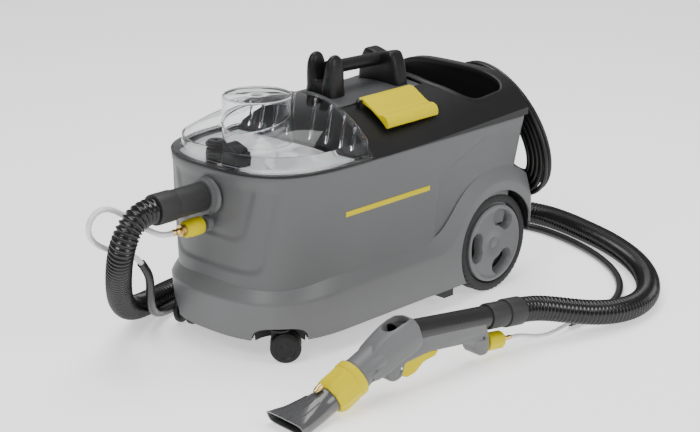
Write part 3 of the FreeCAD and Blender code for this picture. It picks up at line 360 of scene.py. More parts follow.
SUCTION_ROUTE = metres([
    (-383, 0, 259), (-395, 0, 259), (-412, 0.5, 254.5), (-426.5, 2, 242.5), (-435, 5, 225.5),
    (-437, 12, 206), (-431.5, 25, 182), (-419, 44, 154), (-401, 68, 123), (-374, 99, 87),
    (-337, 132, 55), (-294, 162, 34), (-244, 187, 23.5), (-188, 204), (-129, 211), (-70, 216),
    (-11, 212), (48, 206), (107, 208), (166, 214), (225, 222), (284, 222), (342, 213), (399, 197),
    (453, 174), (503, 143), (547, 105), (580, 58), (592, 2), (584, -56), (568, -113), (550, -169),
    (526, -223), (496, -274), (460, -320), (414, -363), (362, -396, 21.8), (306, -411.5, 22.8),
    (252, -409, 27), (206, -396.5, 34.5), (166, -379, 44.5), (130, -363, 54.5), (94.48, -352.67, 61.78),
    (69.03, -350.45, 64.6)], 21.5)
SHEATH_ROUTE = metres([
    (-363, 57, 155), (-351, 59, 140), (-338, 67, 118), (-325, 84, 91), (-306, 107, 59), (-278, 134, 30),
    (-243, 157, 11.5), (-199, 171), (-150, 178), (-96, 182), (-42, 182), (12, 177), (66, 175),
    (120, 180), (174, 188), (228, 192), (282, 190), (334, 181), (384, 165), (431, 143), (474, 115),
    (512, 81), (541, 39), (552, -12), (546, -64), (533, -114), (514, -164), (490, -211), (460, -255),
    (424, -294), (382, -326), (335, -349), (286, -358), (238, -360, 8), (194, -360, 11)], 7.3)
SPRAY_FRONT = metres([
    (-347, 0, 213.5), (-359, 0, 213.5), (-370.5, 5, 216.5), (-381, 14, 223), (-391, 25, 232),
    (-401, 35, 242), (-414, 42.5, 252.5), (-429, 46.5, 261.5), (-446, 48.5, 263.5), (-460.5, 49.5, 256),
    (-468, 51, 242), (-465.5, 53, 225.5), (-454, 55, 211), (-438, 56.5, 199.5), (-420, 57, 190),
    (-401, 56.5, 182.5), (-384.5, 55.8, 174.5), (-371.1, 55.7, 165.1), (-363, 57, 155)])
SPRAY_TOOL = metres([
    (194, -360, 11), (176.5, -361.5, 10.6), (158.5, -361.2, 8), (140.5, -359, 6.2), (122.5, -356, 7),
    (105, -353.4, 11), (88, -351.8, 16.6), (71.2, -350.6, 21.36), (52.9, -349.03, 23.39)])
LEAD = metres([
    (328, -60, 190), (336, -60, 190), (349.75, -57.4, 191.7), (360.5, -50.6, 196.2)])
TAIL = metres([
    (366, 24, 238), (366, 33, 222), (366, 39, 204), (366, 41, 185), (366, 41, 168)])


def hank_points(turns=13, per_turn=16):
    """The turns of the hank: a tilted oval, each turn in its own place across the bundle."""
    middle = Vector((0.362, -0.069, 0.257))
    along = Vector((0.0, sqrt(0.5), sqrt(0.5)))
    across = Vector((0.0, -sqrt(0.5), sqrt(0.5)))
    places = [(column * 0.0083, row * 0.0083) for row in (-1, 0, 1)
              for column in ((-2, -1, 0, 1, 2) if row != 0 else (2, 1, 0, -1, -2))][:turns]
    points = []
    for turn in range(turns):
        here = places[turn]
        after = places[min(turn + 1, turns - 1)]
        for step in range(per_turn):
            share = step / per_turn
            moved = max(0.0, (share - 0.75) / 0.25)
            radial = here[0] + (after[0] - here[0]) * moved
            side = here[1] + (after[1] - here[1]) * moved
            angle = radians(249.0) + 2 * pi * share
            spread = 1.0 + 0.12 * sin(angle + 0.9 * turn)
            grow = radial * (1.12 - 0.12 * cos(angle)) * spread ** 0.5
            points.append(tuple(middle + along * (0.115 + grow) * cos(angle)
                                + across * (0.063 + grow) * sin(angle) + Vector((side, 0.0, 0.0))))
    return points


def ribbed_tube(name, points, rib, kind):
    """A corrugated tube round a line: rib gives the radius of each ring in one corrugation."""
    steps = 28
    rings = []
    heading = (points[1] - points[0]).normalized()
    side = heading.orthogonal().normalized()
    for index, point in enumerate(points):
        ahead = points[min(index + 1, len(points) - 1)] - points[max(index - 1, 0)]
        side = (side - ahead.normalized() * side.dot(ahead.normalized())).normalized()
        other = ahead.normalized().cross(side)
        radius = rib[index % len(rib)]
        rings.append([point + side * (radius * cos(2 * pi * step / steps))
                      + other * (radius * sin(2 * pi * step / steps)) for step in range(steps)])
    return loft(name, rings, kind, at=Matrix.Identity(4), sharp=0)


mains = spline("mains_cord", LEAD + hank_points() + TAIL, 0.008, FIXED_CORD)
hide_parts("power_lead", "cord_hank", "plug_tail")

guide = spline("hose_guide", SUCTION_ROUTE, 0.002, FIXED_HOSE)
hose_line = evenly(centreline(guide), 0.00125)
bpy.data.objects.remove(guide)
RIB = (0.0172, 0.018, 0.0204, 0.0208, 0.0204, 0.018)
hose = ribbed_tube("ribbed_hose", hose_line, RIB, FIXED_HOSE)
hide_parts("suction_hose")

for name, route, thickness, kind, node, length, stiffness in (
        ("spray_sheath", SHEATH_ROUTE, 0.014, FIXED_BRAID, "hose_sheath", 1.66, "medium"),
        ("spray_line_front", SPRAY_FRONT, 0.009, FIXED_SPRAY, "spray_hose_front", 0.3, "limp"),
        ("spray_line_tool", SPRAY_TOOL, 0.0066, FIXED_SPRAY, "spray_hose_tool", 0.143, "limp")):
    line = spline(name, route, thickness, kind)
    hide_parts(node)


# ---- plan outlines and soft steps


def clamp(value, low=0.0, high=1.0):
    return max(low, min(high, value))


def ease(value):
    """0 to 1 with soft ends."""
    value = clamp(value)
    return value * value * (3 - 2 * value)


def blend_low(first, second, reach):
    """The lower of two values, with a soft join."""
    mix = clamp(0.5 + 0.5 * (second - first) / reach)
    return second * (1 - mix) + first * mix - reach * mix * (1 - mix)


def front_arc(front, half, depth, power, count):
    """Plan points round the front, from the far side to the near side."""
    points = []
    for step in range(count + 1):
        angle = pi / 2 + pi * step / count
        c, s = cos(angle), sin(angle)
        reach = (abs(c) ** power + abs(s) ** power) ** (-1 / power)
        points.append((front + depth + depth * c * reach, half * s * reach))
    return points


def plan(front, half, depth, power, rear, corner):
    """Plan points right round the machine: curved front, straight sides, rounded rear corners."""
    points = front_arc(front, half, depth, power, 120)
    start, end = front + depth, rear - corner
    side = [(start + (end - start) * step / 110, -half) for step in range(1, 111)]
    turn = [(end + corner * sin(a), -half + corner - corner * cos(a))
            for a in (pi / 2 * step / 6 for step in range(1, 7))]
    rear_half = [(rear, (-half + corner) * (1 - step / 12)) for step in range(1, 13)]
    near = side + turn + rear_half
    return points + near + [(x, -y) for x, y in reversed(near[:-1])]


def normals(points):
    """The direction square to a closed outline at each point, outwards if it runs anticlockwise."""
    found = []
    for index in range(len(points)):
        x0, y0 = points[index - 1]
        x1, y1 = points[(index + 1) % len(points)]
        length = hypot(x1 - x0, y1 - y0) or 1.0
        found.append(((y1 - y0) / length, (x0 - x1) / length))
    return found


def outward(points):
    """The outward direction at each point of a closed plan outline."""
    square = normals(points)
    middle = len(points) // 8
    facing = 1 if square[middle][0] * points[middle][0] > 0 else -1
    return [(nx * facing, ny * facing) for nx, ny in square]


def trimmed(piece, keep):
    """Cuts away the part of a piece where keep(x, y, z), in the machine's axes, is below zero."""
    back = MACHINE.inverted()
    work = bmesh.new()
    work.from_mesh(piece.data)
    value = {vertex: keep(*(back @ vertex.co)) for vertex in work.verts}
    crossing = [edge for edge in work.edges if value[edge.verts[0]] * value[edge.verts[1]] < 0]
    fresh = []
    for edge in crossing:
        first, second = edge.verts
        share = clamp(value[first] / (value[first] - value[second]), 0.02, 0.98)
        _, vertex = bmesh.utils.edge_split(edge, first, share)
        value[vertex] = 0.0
        fresh.append(vertex)
    for face in list(work.faces):
        cuts = [vertex for vertex in face.verts if value[vertex] == 0.0]
        if len(cuts) == 2:
            sides = [value[vertex] for vertex in face.verts if value[vertex] != 0.0]
            if sides and min(sides) < 0 < max(sides):
                bmesh.utils.face_split(face, cuts[0], cuts[1])
    gone = [face for face in work.faces
            if sum(value[vertex] for vertex in face.verts) < -1e-9
            or all(value[vertex] <= 0 for vertex in face.verts)]
    bmesh.ops.delete(work, geom=gone, context="FACES")
    work.to_mesh(piece.data)
    work.free()
    return piece


def thicken(piece, depth):
    """Gives a skin its wall, inwards."""
    solid = piece.modifiers.new("wall", "SOLIDIFY")
    solid.thickness = depth
    solid.offset = -1.0
    return settle(piece)


# ---- tank housing

RIM, FOOT = 0.303, 0.125
# (half width, height where it starts to narrow, how fast, bottom, depth) of each U
RECESSES = ((0.126, 0.275, 0.2, 0.139, 0.0036), (0.094, 0.275, 0.3, 0.189, 0.003))


def recess(y, z):
    """How far the front of the tank steps back inside its two U-shaped outlines."""
    deep = 0.0
    for width, low, narrow, bottom, step in RECESSES:
        half = width - (low - z) * narrow * (0.9 if z < low else 0.0)
        inside = blend_low(half - abs(y), z - bottom, 0.026)
        deep += step * ease(inside / 0.009) * ease((0.296 - z) / 0.02)
    return deep


def swoosh(x, z):
    """The shallow hollow in the side ahead of the rear wheel."""
    inside = blend_low(x - 0.088 - 2.2 * max(0.0, z - 0.235), 0.29 - z, 0.03)
    return 0.0028 * ease(inside / 0.014) * ease((0.33 - x) / 0.05)


def tank_ring(z, inset=0.0):
    """The tank's outline at one height, with the recesses pressed in."""
    share = min((z - FOOT) / (RIM - FOOT), 1.0)
    points = plan(-0.268 - 0.004 * share, 0.151 + 0.0075 * share, 0.18, 3.0, 0.29 + 0.035 * share, 0.016)
    ring = []
    for (x, y), (nx, ny) in zip(points, outward(points)):
        pressed = inset
        if x < -0.1:
            pressed += recess(y, z)
        elif y < 0 or x < 0.33:
            pressed += swoosh(x, z) if x < 0.3 + 0.03 * share else 0.0
        ring.append((x - nx * pressed, y - ny * pressed, z))
    return ring


levels = [tank_ring(0.118 + 0.003 * step) for step in range(61)]
levels += [tank_ring(*row) for row in ((0.3, 0.0), (0.3018, 0.0006), (0.3028, 0.0016), (RIM, 0.003),
                                       (RIM, 0.0085))]
tank_rim = [(x, y, 0.302) for x, y, _ in tank_ring(RIM, 0.0098)]
levels += [tank_rim, [(x, y, 0.262) for x, y, _ in tank_rim]]
tank = loft("tank_shell", levels, ("machine", GREY, "grey_plastic"), sharp=50, caps=False)
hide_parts("tank_housing")

# ---- lower housing

AXLE = (0.248, 0.087)
CASTER_X, CASTER_Y = 0.228, 0.112
# the crease's radius over the wheel, the arch's, the foot behind it, and how far the wall stands
# above the crease
CREASE_RADIUS, ARCH_RADIUS, REAR_FOOT, ABOVE_CREASE = 0.11, 0.095, 0.105, 0.0265


def above_crease(x, z):
    """How far a point of the side is above the crease, which climbs over the wheel arch."""
    flat = z - (0.098 + 0.005 * ease((x + 0.26) / 0.12))
    round_arch = hypot(x - AXLE[0], z - AXLE[1]) - CREASE_RADIUS
    return blend_low(flat, round_arch, 0.05)


def base_ring(z):
    """The lower housing's outline at one height."""
    points = plan(-0.283, 0.16, 0.162, 2.62, 0.345, 0.012)
    ring = []
    for (x, y), (nx, ny) in zip(points, outward(points)):
        frontal = ease((-x - 0.12) / 0.13)
        up = above_crease(x, z)
        arch = ease((x - 0.05) / 0.1) if abs(y) > 0.1 else 0.0
        if up < 0:
            inset = (0.002 + 0.004 * frontal) * clamp(-up / 0.06) - 0.0015 * arch
        else:
            inset = (0.0095 + 0.006 * frontal - 0.0012 * arch) * (up / 0.024) ** 1.12 - 0.0015 * arch
        ring.append((x - nx * inset, y - ny * inset, z))
    return ring


def base_keep(x, y, z):
    """Below zero where the lower housing's wall is cut away."""
    side = abs(y) > 0.13
    limits = [ABOVE_CREASE - above_crease(x, z) if side or x < 0 else 0.126 - z]
    if side:
        limits.append(hypot(x - AXLE[0], z - AXLE[1]) - ARCH_RADIUS)
        if x > AXLE[0]:
            limits.append(z - REAR_FOOT)
    well = hypot(x + CASTER_X, abs(y) - CASTER_Y)
    limits.append(((well / 0.046) ** 4 + (max(z - 0.02, 0.0) / 0.038) ** 4) ** 0.25 * 0.04 - 0.04)
    return min(limits)


base = loft("base_shell", [base_ring(0.0355 + 0.0033 * step) for step in range(60)], FIXED_GREY, sharp=0,
            caps=False)
base = thicken(trimmed(base, base_keep), 0.0032)
base.data.set_sharp_from_angle(angle=radians(50))
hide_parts("base_housing")

# ---- millimetre places and sheets

MM = MACHINE @ Matrix.Scale(0.001, 4)


def spot(x, y, z, *turns, start=MM):
    """A place in millimetres, turned in degrees about its own axes in order."""
    at = start @ Matrix.Translation((x, y, z))
    for angle, axis in turns:
        at = at @ Matrix.Rotation(radians(angle), 4, axis)
    return at


def sheet(name, rows, depth, kind, sharp=30.0):
    """A skin over rows of points, thickened inwards."""
    across = len(rows[0])
    faces = [(row * across + step, row * across + step + 1, (row + 1) * across + step + 1,
              (row + 1) * across + step) for row in range(len(rows) - 1) for step in range(across - 1)]
    piece = make(name, [point for row in rows for point in row], faces, kind, MM, sharp)
    return thicken(piece, depth)


def rounded(corners, radius, steps=6):
    """A closed outline with its corners rounded by a radius for each or for all."""
    points = []
    count = len(corners)
    for index in range(count):
        here = Vector(corners[index])
        to_last = Vector(corners[index - 1]) - here
        to_next = Vector(corners[(index + 1) % count]) - here
        reach = radius[index] if isinstance(radius, (list, tuple)) else radius
        reach = min(reach, 0.48 * to_last.length, 0.48 * to_next.length)
        first = here + to_last.normalized() * reach
        last = here + to_next.normalized() * reach
        for step in range(steps + 1):
            share = step / steps
            points.append(tuple(first * (1 - share) ** 2 + here * 2 * share * (1 - share)
                                + last * share ** 2))
    return points


def resampled(points, spacing):
    """Points a little apart round a closed outline."""
    fine = []
    for index, point in enumerate(points):
        here, after = Vector(point), Vector(points[(index + 1) % len(points)])
        parts = max(1, round((after - here).length / spacing))
        fine += [tuple(here.lerp(after, step / parts)) for step in range(parts)]
    return fine


def moulded(name, corners, low, high, edge, kind, at=MM, plane="XZ", corner=3.0):
    """A flat outline given thickness, with rounded corners and rounded edges, as a moulding has."""
    outline = resampled(rounded(corners, corner), 2.5)
    area = sum(x0 * y1 - x1 * y0 for (x0, y0), (x1, y1) in zip(outline, outline[1:] + outline[:1]))
    turn = 1 if area > 0 else -1
    square = [(turn * nx, turn * ny) for nx, ny in normals(outline)]
    levels = []
    for step in range(6):
        angle = pi / 2 * step / 5
        levels.append((edge * (1 - sin(angle)), low + edge * (1 - cos(angle))))
    levels.append((0.0, (low + high) / 2))
    levels += [(inset, low + high - place) for inset, place in reversed(levels[:-1])]
    rings = [[AXES[plane](x - nx * inset, y - ny * inset, place)
              for (x, y), (nx, ny) in zip(outline, square)] for inset, place in levels]
    return loft(name, rings, kind, at, sharp=40)


# ---- clear tank lid

SEAM_TOP, CREASE = 380.0, 331.0


def seam_x(z):
    """Where the slanted seam between the lid and the cover stands at a height."""
    return -50.8 - 0.2208 * (SEAM_TOP - z)


def lid_row(front, half, depth, x_end, z):
    """Points of the lid round the front at one height, from seam to seam."""
    arc = front_arc(front, half, depth, 3.0, 96)
    start = front + depth
    run = [start + (x_end - start) * step / 4 for step in (4, 3, 2, 1)]
    return ([(x, half, z) for x in run] + [(x, y, z) for x, y in arc]
            + [(x, -half, z) for x in reversed(run)])


def dome_row(share):
    """Points of the dome a share of the way from its highest point to its crease."""
    z = CREASE + (SEAM_TOP - CREASE) * (1 - share ** 2.4)
    edge = lid_row(-256, 144, 172, seam_x(CREASE), CREASE)
    return [(seam_x(z) + share * (x - seam_x(CREASE)), share * y, z) for x, y, _ in edge]


lid_rows = [dome_row(step / 36) for step in range(37)]
lid_rows += [lid_row(-256 - 2 * share, 144 + 2 * share, 172 + 2 * share, seam_x(CREASE - 19.5 * share),
                     CREASE - 19.5 * share) for share in (0.06, 0.5, 1.0)]
# the lid's flange: (front, half width, depth of the front's curve, height)
lid_rows += [lid_row(front, half, depth, seam_x(z), z) for front, half, depth, z in (
    (-260, 147.6, 175, 309.9), (-269.5, 156.2, 179, 309.6), (-271.4, 157.9, 180, 308.6),
    (-271.8, 158.3, 180, 307))]
lid_shell = sheet("lid_shell", lid_rows, 0.0022, LID_CLEAR)
TURRET = spot(-163, 0, 0)
carve(lid_shell, bore(54.6, 300, 410, TURRET))
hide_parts("tank_lid")
lathe("lid_turret", [(56, 324), (56, 395.5), (55.4, 398), (53.4, 399.7), (51, 400), (22, 399.2), (8, 399.2),
                     (6.5, 399.9), (0.001, 400), (0.001, 397.6), (51, 397.6), (53, 396.4), (53.8, 394.5),
                     (53.8, 324)], LID_CLEAR, TURRET, steps=128)
for rib_y in (-118, -92, -60, -24, 24, 60, 92, 118):
    top = CREASE + (SEAM_TOP - CREASE) * (1 - abs(rib_y / 144) ** 2.4) - 2
    foot = 312.0
    rib = [(seam_x(z) - back, z) for back, z in ((2, top), (9, top), (9, foot), (2, foot))]
    prism(f"lid_rib_{rib_y + 144}", rib, rib_y - 0.7, rib_y + 0.7, LID_CLEAR, MM)

# ---- recovery tub under the lid


def pan(front, half, depth, rear, z):
    """A closed outline with a curved front and a straight rear, at one height."""
    arc = front_arc(front, half, depth, 3.0, 96)
    rear_side = [(rear, -half + 2 * half * step / 8) for step in range(9)]
    return [(x, y, z) for x, y in arc + rear_side]


# (front, half width, depth of the front's curve, rear, height), up from the foot and over the rim
TUB = ((-246, 130, 160, -76, 150), (-256, 143, 172, -74, 296), (-260.5, 147, 176, -72, 296),
       (-260.5, 147, 176, -72, 298.6), (-260.1, 146.6, 176, -72.4, 299), (-254, 140, 174, -76, 299),
       (-253.4, 139.4, 174, -76.6, 297.4), (-251, 137, 172, -79, 297.2), (-250.4, 136.4, 172, -79.6, 298.8),
       (-249, 135, 171, -81, 299))
tub = loft("tub_form", [pan(*row) for row in TUB], FIXED_MILK, MM, sharp=28)
carve(tub, bore(32, 280, 310, TURRET),
      prism("cut", [(-104, -50), (-82, -70), (-82, 60), (-100, 46)], 285, 310, FIXED_MILK, MM, "XY"),
      prism("cut", [(-206, -66), (-182, -66), (-182, -60), (-206, -60)], 290, 310, FIXED_MILK, MM, "XY"))
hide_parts("recovery_tub")
TUB_RIBS = ((-118, -44, -84, -84), (-122, 44, -88, 84), (-190, -44, -214, -92))
for index, (x0, y0, x1, y1) in enumerate(TUB_RIBS):
    run = Vector((x1 - x0, y1 - y0, 0))
    yaw = degrees(atan2(run.y, run.x))
    rib = [(0, 298.9), (run.length, 298.9), (run.length, 301.2), (0, 301.2)]
    soften(prism(f"tub_rib_{index}", rib, -1.2, 1.2, FIXED_MILK, spot(x0, y0, 0, (yaw, "Z"))), 0.0004, 2)

# black inlet elbow, with fins round its pipe and its drum
FINS = [(10.2, 0)]
for fin in range(7):
    start = 2.5 + 6.2 * fin
    FINS += [(10.2, start), (12.6, start + 0.5), (12.6, start + 2.2), (10.2, start + 2.7)]
FINS += [(10.2, 46), (7, 46), (7, 0)]
lathe("elbow_pipe", FINS, FIXED_BLACK, spot(-228, 26, 319, (90, "X")), steps=48)
DRUM = [(0.001, 299.2), (17, 299.2)]
for fin in range(6):
    start = 301.5 + 5.0 * fin
    DRUM += [(14.6, start), (17, start + 0.6), (17, start + 2.6), (14.6, start + 3.2)]
DRUM += [(14.6, 331.2), (12.5, 333), (4, 333), (3, 331.4), (0.001, 331.4)]
elbow = lathe("elbow_drum", DRUM, FIXED_BLACK, spot(-228, 26, 0), steps=64)
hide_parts("inlet_elbow")
ELBOW_FOOT = [(-244.6, -33.6), (-209.4, -33.6), (-209.4, -6), (-214, 2), (-240, 2), (-244.6, -6)]
soften(prism("elbow_foot", ELBOW_FOOT, 299.2, 322, FIXED_BLACK, MM, "XY"), 0.0018)
FIN = [(-33, 321), (-32, 328), (-12, 335), (-4, 335), (-4, 321)]
for fin_x in range(-241, -211, 5):
    prism(f"elbow_fin_{-fin_x}", FIN, fin_x - 0.8, fin_x + 0.8, FIXED_BLACK, MM, "YZ")

# ---- cover details

COVER_X = (-90.0, 130.0, 230.0, 325.0)
COVER_FOOT = (304.0, 306.5, 311.0, 315.0)
COVER_TOP = (378.0, 378.0, 374.5, 370.0)
COVER_POWER = (2.0, 2.05, 3.0, 4.6)


def through(values, x):
    """The smooth value at x of a row of values at the cover's sections."""
    total = 0.0
    for index, value in enumerate(values):
        weight = value
        for other, place in enumerate(COVER_X):
            if other != index:
                weight *= (x - place) / (COVER_X[index] - place)
        total += weight
    return total


def cover_z(x, y):
    """The cover's height over a point."""
    foot, top = through(COVER_FOOT, x), through(COVER_TOP, x)
    return foot + (top - foot) * (1 - min(1.0, abs(y) / 158.3) ** through(COVER_POWER, x))


BASKET = [(176, -60), (212, -127), (288, -127), (300, -115), (300, 115), (288, 127), (212, 127), (176, 60)]
LIP = ((-1.5, -8), (-1.8, -2), (-0.8, 0.4), (1.5, 1.5), (4.5, 1.5), (8, 0.4), (9.5, -0.6), (6, -4))
basket_edge = resampled(rounded(BASKET, [14, 26, 12, 12, 12, 12, 26, 14]), 4.0)
# LIP is (outwards, up from the cover's surface) and runs round the basket's edge
lip_rings = [[(x + nx * out, y + ny * out, cover_z(x + nx * max(out, 0), y + ny * max(out, 0)) + up)
              for out, up in LIP] for (x, y), (nx, ny) in zip(basket_edge, normals(basket_edge))]
loft("basket_lip", lip_rings, FIXED_BLACK, MM, sharp=40, closed=True)

# the gasket's skin follows the cover along the slanted seam
gasket_rows = []
for step in range(61):
    y = -157.6 + 315.2 * step / 60
    row = []
    for column in range(6):
        x = 0.4 + 8.1 * (column / 5)
        x += seam_x(cover_z(x, y)) + 0.9
        row.append((x, y, cover_z(x, y) + (1.0 if 0 < column < 5 else -0.2)))
    gasket_rows.append(row)
sheet("seam_gasket", gasket_rows, 0.0012, ("machine", RUBBER, "black_rubber"), sharp=40)

DECK_NEAR = 62.0


def deck_z(x, y):
    """The deck: a little hollow between the posts, and flush with the cover at the seam."""
    hollow = 372.3 - 5.0 * (y / 60.0) ** 2
    return hollow + (cover_z(x, y) + 0.9 - hollow) * ease((-30.0 - x) / 8.0)


deck_rows = []
for step in range(41):
    y = -DECK_NEAR + 2 * DECK_NEAR * step / 40
    row = []
    for column in range(61):
        share = column / 60
        front = seam_x(cover_z(-50, y)) + 1.4
        x = front + (161.0 - front) * share
        row.append((x, y, deck_z(x, y) + (0.35 if 0 < step < 40 and 0 < column < 60 else -0.9)))
    deck_rows.append(row)
deck = sheet("deck_cap", deck_rows, 0.0025, ("machine", DECK_GREY, "dark_grey_plastic"), sharp=40)
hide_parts("deck_plate")


def oval_ring(x, y, z, half_x, half_y, power=2.4, count=40):
    """A rounded ring in plan about a point."""
    ring = []
    for step in range(count):
        angle = 2 * pi * step / count
        c, s = cos(angle), sin(angle)
        ring.append((x + copysign(abs(c) ** (2 / power), c) * half_x,
                     y + copysign(abs(s) ** (2 / power), s) * half_y, z))
    return ring


# (height, distance from the middle, half thickness across, half width along) of a front post's prong
PRONG = ((362, 16.5, 15.4, 19), (372, 16.6, 15.3, 19), (388, 17.4, 14.5, 18.8), (402, 18.9, 12.9, 18.4),
         (414, 20.2, 11.2, 17.6), (422, 20.8, 9.8, 16.6), (429, 20.9, 8.3, 14.8), (434.5, 20.9, 6.5, 12),
         (438, 20.8, 4.2, 8), (439.6, 20.8, 2, 4), (440, 20.8, 0.6, 1.2))
for side, label in ((-1, "near"), (1, "far")):
    prong = loft("front_prong_" + label, [oval_ring(-10, side * middle, z, along, across)
                                          for z, middle, across, along in PRONG], FIXED_BLACK, MM, sharp=60)
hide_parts("front_handle_post")
SADDLE = [(-30, 362), (30, 362), (29, 386), (15, 402), (6, 396), (-6, 396), (-15, 402), (-29, 386)]
moulded("front_saddle", SADDLE, -27, 7, 4, FIXED_BLACK, plane="YZ", corner=7)
moulded("bar_root", [(-13, 372), (13, 372), (13, 414), (7, 426), (-7, 426), (-13, 414)], -6, 9, 3.5,
        FIXED_BLACK, plane="YZ", corner=8)
REAR_POST = [(-45.7, 361), (45.7, 361), (44, 384), (38.5, 410), (30, 426), (14, 424), (0, 419), (-14, 424),
             (-30, 426), (-38.5, 410), (-44, 384)]
rear_post = moulded("rear_post_form", REAR_POST, 113, 143, 6, FIXED_BLACK, plane="YZ", corner=12)
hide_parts("rear_handle_post")
LATCH = [(-65.5, 368.6), (-74.5, 367.2), (-92, 359.6), (-108, 349.5), (-118, 341.8), (-126.5, 334),
         (-131, 336.5), (-131, 345), (-127, 352), (-119, 355.5), (-112, 354.2), (-104, 357.2), (-90, 366),
         (-76, 374.5), (-65.8, 376)]
latch = moulded("latch_form", LATCH, 0, 122, 1.6, ("latch", YELLOW, "yellow_plastic"), plane="YZ",
                corner=2.4)
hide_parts("lid_latch")

# ---- wheels


def kidney(swell, z, turn):
    """A kidney outline about the wheel's middle, grown by swell: two arcs joined by round ends."""
    middle, half, reach = 45.5, 15.5 + swell, 15.0
    points = []

    def arc(radius, low, high):
        for step in range(13):
            angle = radians(turn + low + (high - low) * step / 12)
            points.append((radius * cos(angle), radius * sin(angle), z))

    def end(side):
        centre = radians(turn + side * reach)
        for step in range(1, 10):
            spin = centre + (0 if side > 0 else pi) + pi * step / 10
            points.append((middle * cos(centre) + half * cos(spin),
                           middle * sin(centre) + half * sin(spin), z))

    arc(middle + half, -reach, reach)
    end(1)
    arc(middle - half, reach, -reach)
    end(-1)
    return points


def tyre_rings():
    """The tyre's rings: plain walls, and a tread of slanted lugs."""
    lugs, fine = 50, 8
    walls = [(69, 4), (69, 28), (70.8, 29), (72.2, 32.6), (77, 34.2), (83, 33)]
    tread = [(86.2, 31), (87, 28.5), (87, 23), (87, 18.4), (87, 17.6), (87, 13), (87, 7.5), (86.2, 5)]
    rest = [(83, 3), (78, 2.2), (73.4, 3.1)]
    rings = []
    for step in range(lugs * fine):
        angle = 2 * pi * step / (lugs * fine)
        lugged = []
        for r, z in tread:
            phase = (step / fine + (0.5 if z > 18 else 0.0) + 0.02 * (z - 18)) % 1.0
            drop = 2.3 * ease(abs(phase - 0.5) * 6 - 1.9) if abs(z - 18) > 0.5 else 2.3
            lugged.append((r - drop, z))
        rings.append(turned(angle, walls + lugged + rest))
    return rings


DISC = [(6.4, 33), (11, 33), (12.6, 34.2), (30, 33.6), (56, 34.6), (61, 35.2), (62.2, 36), (66.6, 36),
        (68, 35), (68.6, 32), (68.6, 3), (64, 3), (64, 20), (14, 18), (14, 1), (6.4, 1)]
WHEEL_X, WHEEL_Y, WHEEL_Z = 248, 118.5, 87
for side, label in ((-1, "left"), (1, "right")):
    at = spot(WHEEL_X, WHEEL_Y * side, WHEEL_Z, (-90 * side, "X"))
    wheel_body = label + "_wheel"
    hub = (wheel_body, HUB_GREY, "dark_grey_plastic")
    disc = lathe(label + "_disc_form", DISC, hub, at, steps=120)
    for turn in (60, 180, 300):
        carve(disc, loft("recess_cut", [kidney(swell, z, turn) for swell, z in (
            (-7, 14), (-5.5, 20), (-1, 32), (1.6, 38))], hub, at, sharp=0))
    disc.data.set_sharp_from_angle(angle=radians(40))
    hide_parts(label + "_wheel_disc")
    # a near-black disc behind the recesses: painted shade at their floors
    lathe(label + "_disc_back", [(16, 15), (63, 15), (63, 16.5), (16, 16.5)],
          (wheel_body, SHADE_BLACK, "black_plastic"), at)
    tyre = loft(label + "_tyre_form", tyre_rings(), (wheel_body, TYRE, "tyre_rubber"), at, sharp=40,
                closed=True)
    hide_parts(label + "_tyre")
    lathe(label + "_hub_cap", [(0.001, 34.2), (5, 34.2), (8.6, 33.8), (9.4, 33), (9.4, 31), (0.001, 31)],
          hub, at, steps=48)
    # the well that the wheel stands in: its inner wall, and its roof down to the axle. They close the arch,
    # and are near-black as painted shade round the tyre
    well_at = spot(WHEEL_X, 0, WHEEL_Z, (-90 * side, "X"))
    wall_piece = lathe(label + "_well_wall", [(14, 104), (98, 104), (98, 107.5), (14, 107.5)], FIXED_SHADE,
                       well_at)
    roof = lathe(label + "_well_roof", [(95.2, 107), (98, 107), (98, 151), (95.2, 151)], FIXED_SHADE,
                 well_at)
    for piece, foot in ((wall_piece, 38), (roof, 88)):
        carve(piece, prism("below", [(130, -40), (370, -40), (370, foot), (130, foot)], side * 128 - 45,
                           side * 128 + 45, FIXED_SHADE, MM))


def cup_keep(x, y, z):
    """Above zero within the lower housing's plan, less its wall, and only at the back below its edge."""
    inside = 1 - (max(-0.121 - x, 0.0) / 0.1575) ** 2.62 - (abs(y) / 0.1555) ** 2.62
    return min(inside, max(z - 0.0375, min(x + CASTER_X, CASTER_Y - abs(y)) + 0.012))


CASTER_WHEEL = [(3.6, 6.2), (22.6, 6.2), (24.4, 7.2), (25, 9), (25, 12.6), (24.2, 14.6), (22, 15.8),
                (17.5, 16), (16.5, 15.2), (8, 15.2), (7, 16), (0.001, 16), (0.001, 6.2)]
CASTER_CUP = [(6, 57.5), (44, 57.5), (44, 37.6), (44, 37.4), (44, 25), (45.5, 25), (45.5, 37.4),
              (45.5, 37.6), (45.5, 59), (6, 59)]
for side, label, heading in ((-1, "left", -45), (1, "right", 20)):
    stem = spot(-228, 112 * side, 0)
    # the cup round each caster hides the floor behind its opening, and is near-black as painted shade
    # inside it
    trimmed(lathe(label + "_caster_cup", CASTER_CUP, FIXED_SHADE, stem), cup_keep)
    wheel_at = spot(9, 0, 25, (90, "X"), start=spot(0, 0, 0, (heading, "Z"), start=stem))
    roller = (label + "_caster_roller", BLACK, "dark_grey_plastic")
    wheel = lathe(label + "_caster_near", CASTER_WHEEL, roller, wheel_at, steps=64)
    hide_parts(label + "_caster_wheel")
    lathe(label + "_caster_far", [(r, -z) for r, z in CASTER_WHEEL], roller, wheel_at, steps=64)
    lathe(label + "_caster_spindle", [(0.001, -6.4), (3.5, -6.4), (3.5, 6.4), (0.001, 6.4)],
          (label + "_caster_roller", STEEL, "steel"), wheel_at, steps=24)
    fork = (label + "_caster", BLACK, "black_plastic")
    refined(label + "_caster_hood", label + "_caster_fork", fork, 0.0015, 3)

# ---- port, couplers and cuff

